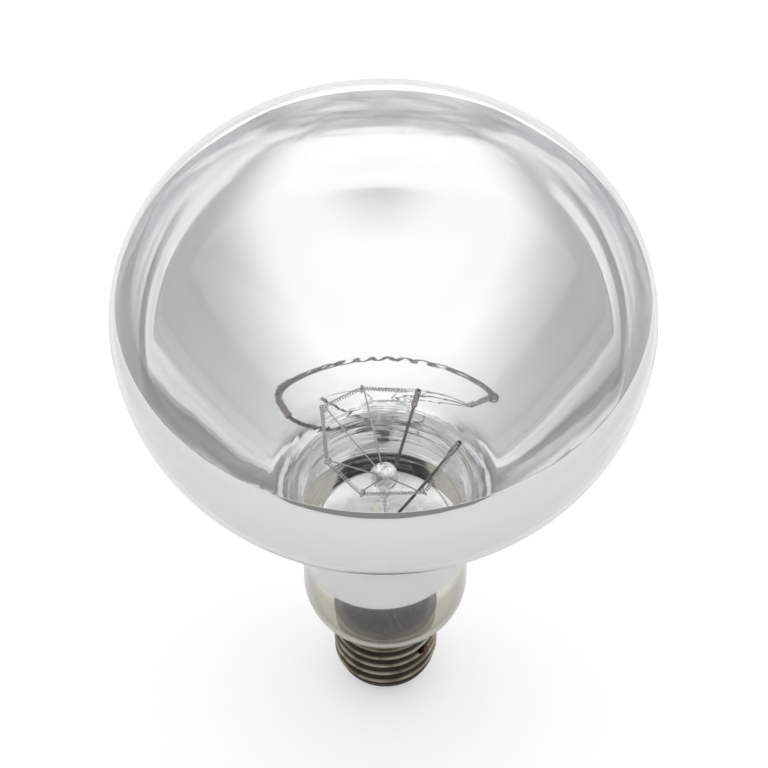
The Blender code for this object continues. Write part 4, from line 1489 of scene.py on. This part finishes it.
@dataclass
class Wires:
    """The leads, their clamps, the supports and the coiled filament."""

    mount: MountShape
    socket_depth: float = 3 * MM
    clamp_length: float = 4.8 * MM
    clamp_radius: float = 0.75 * MM
    clamp_overhang: float = 0.4 * MM
    support_radius: float = 0.18 * MM
    support_turns: float = 1.2
    support_advance: float = 0.9 * MM
    coil_wire: float = 0.13 * MM
    coil_pitch: float = 0.70 * MM
    leg_length: float = 1.2 * MM
    leg_fade: float = 0.8 * MM
    coil_steps: int = 14
    guide_lean: float = 0.01
    clamp_nips: tuple[float, float] = (0.3, 0.7)
    nip_width: float = 0.10
    nip_depth: float = 0.10
    clamp_gap: float = 0.12 * MM
    clamp_guide: tuple[float, float, float] = (0.3, 0.2, 1.0)
    support_gap: float = 0.15 * MM
    button_grip: float = 1.2 * MM
    lead_step: float = 0.25 * MM
    lead_rounds: int = 12
    ring_step: float = 0.1 * MM
    ring_rounds: int = 60
    support_step: float = 0.12 * MM
    support_rounds: int = 2
    lead_sides: int = 24
    clamp_sides: int = 32
    coil_sides: int = 8
    support_sides: int = 12
    sharp_angle: float = math.radians(50)

    def build(self, effects: Effects) -> None:
        """Build and dress the wires.

        Args:
            effects: the shared effects.
        """
        lead = MetalFinish("oxidised_lead", clean=(0.20, 0.18, 0.165), stain=(0.10, 0.06, 0.045),
                           stain_amount=0.6, stain_scale=400.0, low_roughness=0.25, high_roughness=0.45)
        nickel = lead.material(effects)
        sleeve = replace(lead, name="crimped_sleeve", clean=(0.32, 0.30, 0.28),
                         stain=(0.14, 0.10, 0.08)).material(effects)
        wire = MetalFinish("drawn_support", clean=(0.45, 0.45, 0.46), stain=(0.28, 0.27, 0.27),
                           stain_amount=0.4, stain_scale=500.0, low_roughness=0.25)
        thin = wire.material(effects)
        tungsten = replace(wire, name="coiled_tungsten", clean=(0.42, 0.415, 0.41), stain=(0.22, 0.215, 0.21),
                           stain_amount=0.5).material(effects)
        copper = replace(wire, name="outer_lead_copper", clean=(0.26, 0.18, 0.13), stain=(0.12, 0.08, 0.055),
                         stain_amount=0.6).material(effects)
        corners = self.mount.corners()
        for side, tip in ((Side.A, corners[0]), (Side.B, corners[-1])):
            letter = side.name.lower()
            path = self.lead_path(side, tip)
            wire_mesh = self.wire_mesh(f"inner_lead_{letter}", path, self.mount.lead_radius, self.lead_sides)
            place_piece(f"inner_lead_{letter}", wire_mesh, nickel, f"lead_post_{letter}")
            place_piece(f"crimp_{letter}", self.clamp_mesh(f"crimp_{letter}", path), sleeve,
                        f"lead_clamp_{letter}")
        place_piece("filament_coil", self.coil_mesh(), tungsten, "filament")
        for number in range(1, len(corners) - 1):
            place_piece(f"support_hook_{number}", self.support_mesh(number), thin,
                        f"support_wire_{number}")
        for node in ("contact_lead", "side_lead"):
            dress_node(node, copper)

    def wire_mesh(self, name: str, path: np.ndarray, radius: float, sides: int,
                  guide: np.ndarray | None = None) -> bpy.types.Mesh:
        """A plain round wire along a path, with flat ends.

        Args:
            name: name of the mesh.
            path: points of the centre line.
            radius: radius of the wire.
            sides: number of sides.
            guide: direction that the sides start from, or None for the X axis.

        Returns:
            The mesh.
        """
        start = np.array([1.0, 0.0, 0.0]) if guide is None else guide
        mesh = mesh_from_grid(name, tube(path, radius, sides, start))
        keep_corners(mesh, self.sharp_angle)
        return mesh

    def lead_path(self, side: Side, tip: np.ndarray) -> np.ndarray:
        """An inner lead: up out of its socket, then a bend and straight out to its tip.

        Args:
            side: which lead.
            tip: where it ends.

        Returns:
            Points of the centre line.
        """
        across = side.value * self.mount.lead_spacing / 2
        foot = np.array([0.0, across, self.mount.press_top - self.socket_depth])
        bend = np.array([0.0, across, self.mount.bend_height])
        return softened(spread(np.array([foot, bend, tip]), self.lead_step), self.lead_rounds)

    def clamp_mesh(self, name: str, path: np.ndarray) -> bpy.types.Mesh:
        """A sleeve round the tip of a lead, nipped flat in two places: its radius dips at each nip.

        Args:
            name: name of the mesh.
            path: centre line of the lead.

        Returns:
            The sleeve's mesh.
        """
        tip = path[-1]
        aim = unit(path[-1] - path[-2])
        along = np.linspace(self.clamp_overhang - self.clamp_length, self.clamp_overhang, 40)
        centre = tip + aim * along[:, None]
        share = (along - along[0]) / (along[-1] - along[0])
        nip = sum(np.exp(-((share - at) / self.nip_width) ** 2) for at in self.clamp_nips)
        outer = self.clamp_radius * (1 - self.nip_depth * nip)
        inner = self.mount.lead_radius + self.clamp_gap
        _, normal, binormal = frames(centre, np.array(self.clamp_guide))
        turn = np.arange(self.clamp_sides) * (math.tau / self.clamp_sides)
        ring = normal[:, None] * np.cos(turn)[None, :, None] + binormal[:, None] * np.sin(turn)[None, :, None]
        outside = centre[:, None] + outer[:, None, None] * ring
        inside = centre[:, None] + inner * ring
        mesh = mesh_from_grid(name, np.concatenate((outside, inside[::-1])), closed_rows=True)
        keep_corners(mesh, self.sharp_angle)
        return mesh

    def ring_path(self) -> np.ndarray:
        """The filament's centre line: its corners joined by straight runs, each bend rounded."""
        corners = self.mount.corners()
        stand_off = self.clamp_radius + SEAT_GAP
        corners[0] += unit(corners[1] - corners[0]) * stand_off
        corners[-1] += unit(corners[-2] - corners[-1]) * stand_off
        return softened(spread(corners, self.ring_step), self.ring_rounds)

    def coil_mesh(self) -> bpy.types.Mesh:
        """The coil: the centre line carries a helix, and the helix carries the wire.

        The helix is centre(s) + r(s) * (cos a * normal + sin a * binormal), with the angle a growing by one
        turn for each pitch of s. Its radius sinks to nothing at both ends, where the coil becomes a leg.
        """
        centre = spread(self.ring_path(), self.coil_pitch / self.coil_steps)
        ahead, normal, binormal = frames(centre, np.array([0.0, 0.0, 1.0]))
        length = np.concatenate(([0.0], np.cumsum(np.linalg.norm(np.diff(centre, axis=0), axis=1))))
        turn = math.tau * length / self.coil_pitch
        ends = np.minimum(length, length[-1] - length)
        opened = np.clip((ends - self.leg_length) / self.leg_fade, 0.0, 1.0)
        reach = (self.mount.coil_radius - self.coil_wire) * opened
        helix = centre + reach[:, None] * (normal * np.cos(turn)[:, None] + binormal * np.sin(turn)[:, None])
        guide = ahead + self.guide_lean * normal
        return mesh_from_grid("filament_coil", tube(helix, self.coil_wire, self.coil_sides, guide))

    def support_mesh(self, number: int) -> bpy.types.Mesh:
        """A support: straight from the button, then a small helix round the filament at its corner.

        Args:
            number: number of the corner that it holds.

        Returns:
            The support's mesh.
        """
        corners = self.mount.corners()
        before, corner, after = corners[number - 1:number + 2]
        bow = self.mount.corner_radius / 2 * (unit(before - corner) + unit(after - corner))
        middle = corner + bow / 2
        along = unit(after - before)
        button = np.array([0.0, 0.0, self.mount.button_height])
        aim = unit(middle - button)
        inward = unit(-aim + along * np.dot(aim, along))
        across = np.cross(along, inward)
        loop = self.mount.coil_radius + self.support_gap + self.support_radius
        share = np.linspace(0, 1, 60)[:, None]
        turn = math.tau * self.support_turns * share
        shift = (share - 0.5) * self.support_advance
        curl = middle + (inward * np.cos(turn) + across * np.sin(turn)) * loop + along * shift
        start = button + aim * (self.mount.button_radius - self.button_grip)
        path = softened(spread(np.concatenate((start[None], curl)), self.support_step), self.support_rounds)
        return self.wire_mesh(f"support_hook_{number}", path, self.support_radius, self.support_sides,
                              along + self.guide_lean * inward)


# The studio


@dataclass
class Studio:
    """Camera, pale floor and soft light."""

    camera_place: tuple[float, float, float] = (0.0, -488.3 * MM, 779.0 * MM)
    camera_tilt: float = math.radians(36.471)
    camera_roll: float = math.radians(-0.368)
    lens: float = 164.65
    sensor: float = 36.0
    floor_size: float = 1.8
    floor_drop: float = 0.05 * MM
    floor_colour: tuple[float, float, float] = (0.64, 0.64, 0.64)
    floor_glow: float = 0.40
    mirrored_glow: float = 0.30
    mirrored_shade_colour: tuple[float, float, float] = (0.085, 0.082, 0.072)
    table_end: float = -352 * MM
    dark_softness: float = 3 * MM
    dark_depth: float = 2.5
    panel_level: float = 1.44
    room_level: float = 0.46
    room_start: float = 0.10
    room_end: float = -0.75
    room_turn: float = 0.12
    side_edges: tuple[float, float] = (-0.28, -0.42)
    side_light: float = 0.75
    shade_middle: float = 0.15
    shade_edges: tuple[float, float] = (0.36, 0.22)
    shade_depth: float = 0.5
    mirror_bounces: int = 24
    view_reach: float = 100.0
    floor_roughness: float = 0.9
    first_mirror: float = 0.5

    def build(self) -> None:
        """Set up the whole studio. Light is followed through the many mirror bounces inside the bulb."""
        paths = bpy.context.scene.cycles
        paths.max_bounces = self.mirror_bounces
        paths.glossy_bounces = self.mirror_bounces
        paths.transmission_bounces = self.mirror_bounces
        self.add_camera()
        self.add_floor()
        self.add_sky()
        bpy.context.scene.view_settings.view_transform = "Standard"

    def add_camera(self) -> None:
        """The camera at the photograph's place, with its long lens."""
        data = bpy.data.cameras.new("camera")
        data.lens = self.lens
        data.sensor_width = self.sensor
        data.sensor_fit = "HORIZONTAL"
        data.clip_end = self.view_reach
        camera = bpy.data.objects.new("camera", data)
        turn = Matrix.Rotation(self.camera_tilt, 4, "X") @ Matrix.Rotation(self.camera_roll, 4, "Z")
        camera.matrix_world = Matrix.Translation(self.camera_place) @ turn
        bpy.context.scene.collection.objects.link(camera)
        bpy.context.scene.camera = camera

    def add_floor(self) -> None:
        """A wide pale floor, lifted to white where the camera sees it."""
        half = self.floor_size / 2
        mesh = bpy.data.meshes.new("floor")
        corners = [(-half, -half, 0), (half, -half, 0), (half, half, 0), (-half, half, 0)]
        mesh.from_pydata(corners, [], [(0, 1, 2, 3)])
        floor = bpy.data.objects.new("floor", mesh)
        floor.location.z = -self.floor_drop
        bpy.context.scene.collection.objects.link(floor)
        material, tools, shader = start_material("pale_floor")
        shader.inputs["Roughness"].default_value = self.floor_roughness
        shader.inputs["Emission Color"].default_value = WHITE
        straight = self.straight_view(tools)
        mirrored = tools.math("SUBTRACT", 1.0, straight)
        # Painted shade: for mirrored rays the floor is coloured dark beyond the table's edge.
        dark = tools.product(self.shade_beyond_table(tools), mirrored)
        tools.join(tools.blend(dark, self.floor_colour, self.mirrored_shade_colour), shader.inputs["Base Color"])
        glossy = tools.add("ShaderNodeLightPath").outputs["Is Glossy Ray"]
        shown = tools.math("MAXIMUM", straight, tools.product(glossy, self.mirrored_glow))
        tools.join(tools.product(shown, self.floor_glow), shader.inputs["Emission Strength"])
        mesh.materials.append(material)

    def straight_view(self, tools: NodeTools) -> bpy.types.NodeSocket:
        """Which rays come straight from the camera or only through glass.

        Args:
            tools: tools of the node tree.

        Returns:
            Socket that is 1 for such a ray and 0 for one that a surface has mirrored or scattered.
        """
        ray = tools.add("ShaderNodeLightPath")
        unmirrored = tools.math("LESS_THAN", ray.outputs["Glossy Depth"], self.first_mirror)
        through = tools.product(ray.outputs["Is Transmission Ray"], unmirrored)
        return tools.math("MAXIMUM", ray.outputs["Is Camera Ray"], through)

    def shade_beyond_table(self, tools: NodeTools) -> bpy.types.NodeSocket:
        """Painted shade that only mirrors show: the floor is coloured dark beyond the table's front edge.

        Args:
            tools: tools of the floor's node tree.

        Returns:
            Socket that is 1 beyond the edge and 0 on the table, and 0 for a ray mirrored many times over.
        """
        parts = tools.add("ShaderNodeSeparateXYZ")
        tools.join(tools.add("ShaderNodeTexCoord").outputs["Object"], parts.inputs[0])
        beyond = tools.soft_step(parts.outputs["Y"], self.table_end + self.dark_softness,
                                 self.table_end - self.dark_softness)
        ray = tools.add("ShaderNodeLightPath")
        return tools.product(beyond, tools.math("LESS_THAN", ray.outputs["Glossy Depth"], self.dark_depth))

    def add_sky(self) -> None:
        """White panels above and behind the lamp, a dimmer room behind the camera, all white seen straight.

        A ray mirrored three times over sees a light side on the left and a shade in the middle, which gives
        the bowl its light band at the lower left and its dark rims.
        """
        world = bpy.data.worlds.new("soft_light")
        bpy.context.scene.world = world
        world.use_nodes = True
        tools = NodeTools(world.node_tree)
        ground = world.node_tree.nodes["Background"]
        ground.inputs["Color"].default_value = WHITE
        toward = tools.add("ShaderNodeVectorMath", operation="DOT_PRODUCT")
        direction = tools.add("ShaderNodeTexCoord").outputs["Generated"]
        tools.join(direction, toward.inputs[0])
        toward.inputs[1].default_value = (self.room_turn, 1.0, 0.0)
        ray = tools.add("ShaderNodeLightPath")
        depth = ray.outputs["Glossy Depth"]
        third = tools.product(tools.math("GREATER_THAN", depth, self.dark_depth),
                              tools.math("LESS_THAN", depth, self.dark_depth + 1.0))
        parts = tools.add("ShaderNodeSeparateXYZ")
        tools.join(direction, parts.inputs[0])
        side = tools.product(third, tools.soft_step(parts.outputs["X"], *self.side_edges), self.side_light)
        lit = tools.math("MAXIMUM", side,
                         tools.soft_step(toward.outputs["Value"], self.room_end, self.room_start))
        aside = tools.math("ABSOLUTE", tools.math("SUBTRACT", parts.outputs["X"], self.shade_middle), 0.0)
        shadow = tools.product(third, tools.soft_step(aside, *self.shade_edges), self.shade_depth)
        span = tools.product(lit, self.panel_level - self.room_level)
        level = tools.product(tools.math("ADD", span, self.room_level),
                              tools.math("SUBTRACT", 1.0, shadow))
        mix = tools.add("ShaderNodeMix", data_type="FLOAT")
        tools.join(self.straight_view(tools), mix.inputs["Factor"])
        tools.join(level, mix.inputs["A"])
        mix.inputs["B"].default_value = 1.0
        tools.join(mix.outputs["Result"], ground.inputs["Strength"])


def main() -> None:
    """Build the lamp's sub-assemblies in order, then the studio."""
    logging.basicConfig(level=logging.INFO, format="%(name)s: %(message)s")
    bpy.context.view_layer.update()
    effects = Effects()
    mount = MountShape()
    SilveredBulb(BulbShape()).build(effects)
    ScrewCap().build(effects)
    Stem(mount).build(effects)
    Wires(mount).build(effects)
    Studio().build()


if __name__ == "__main__":
    main()
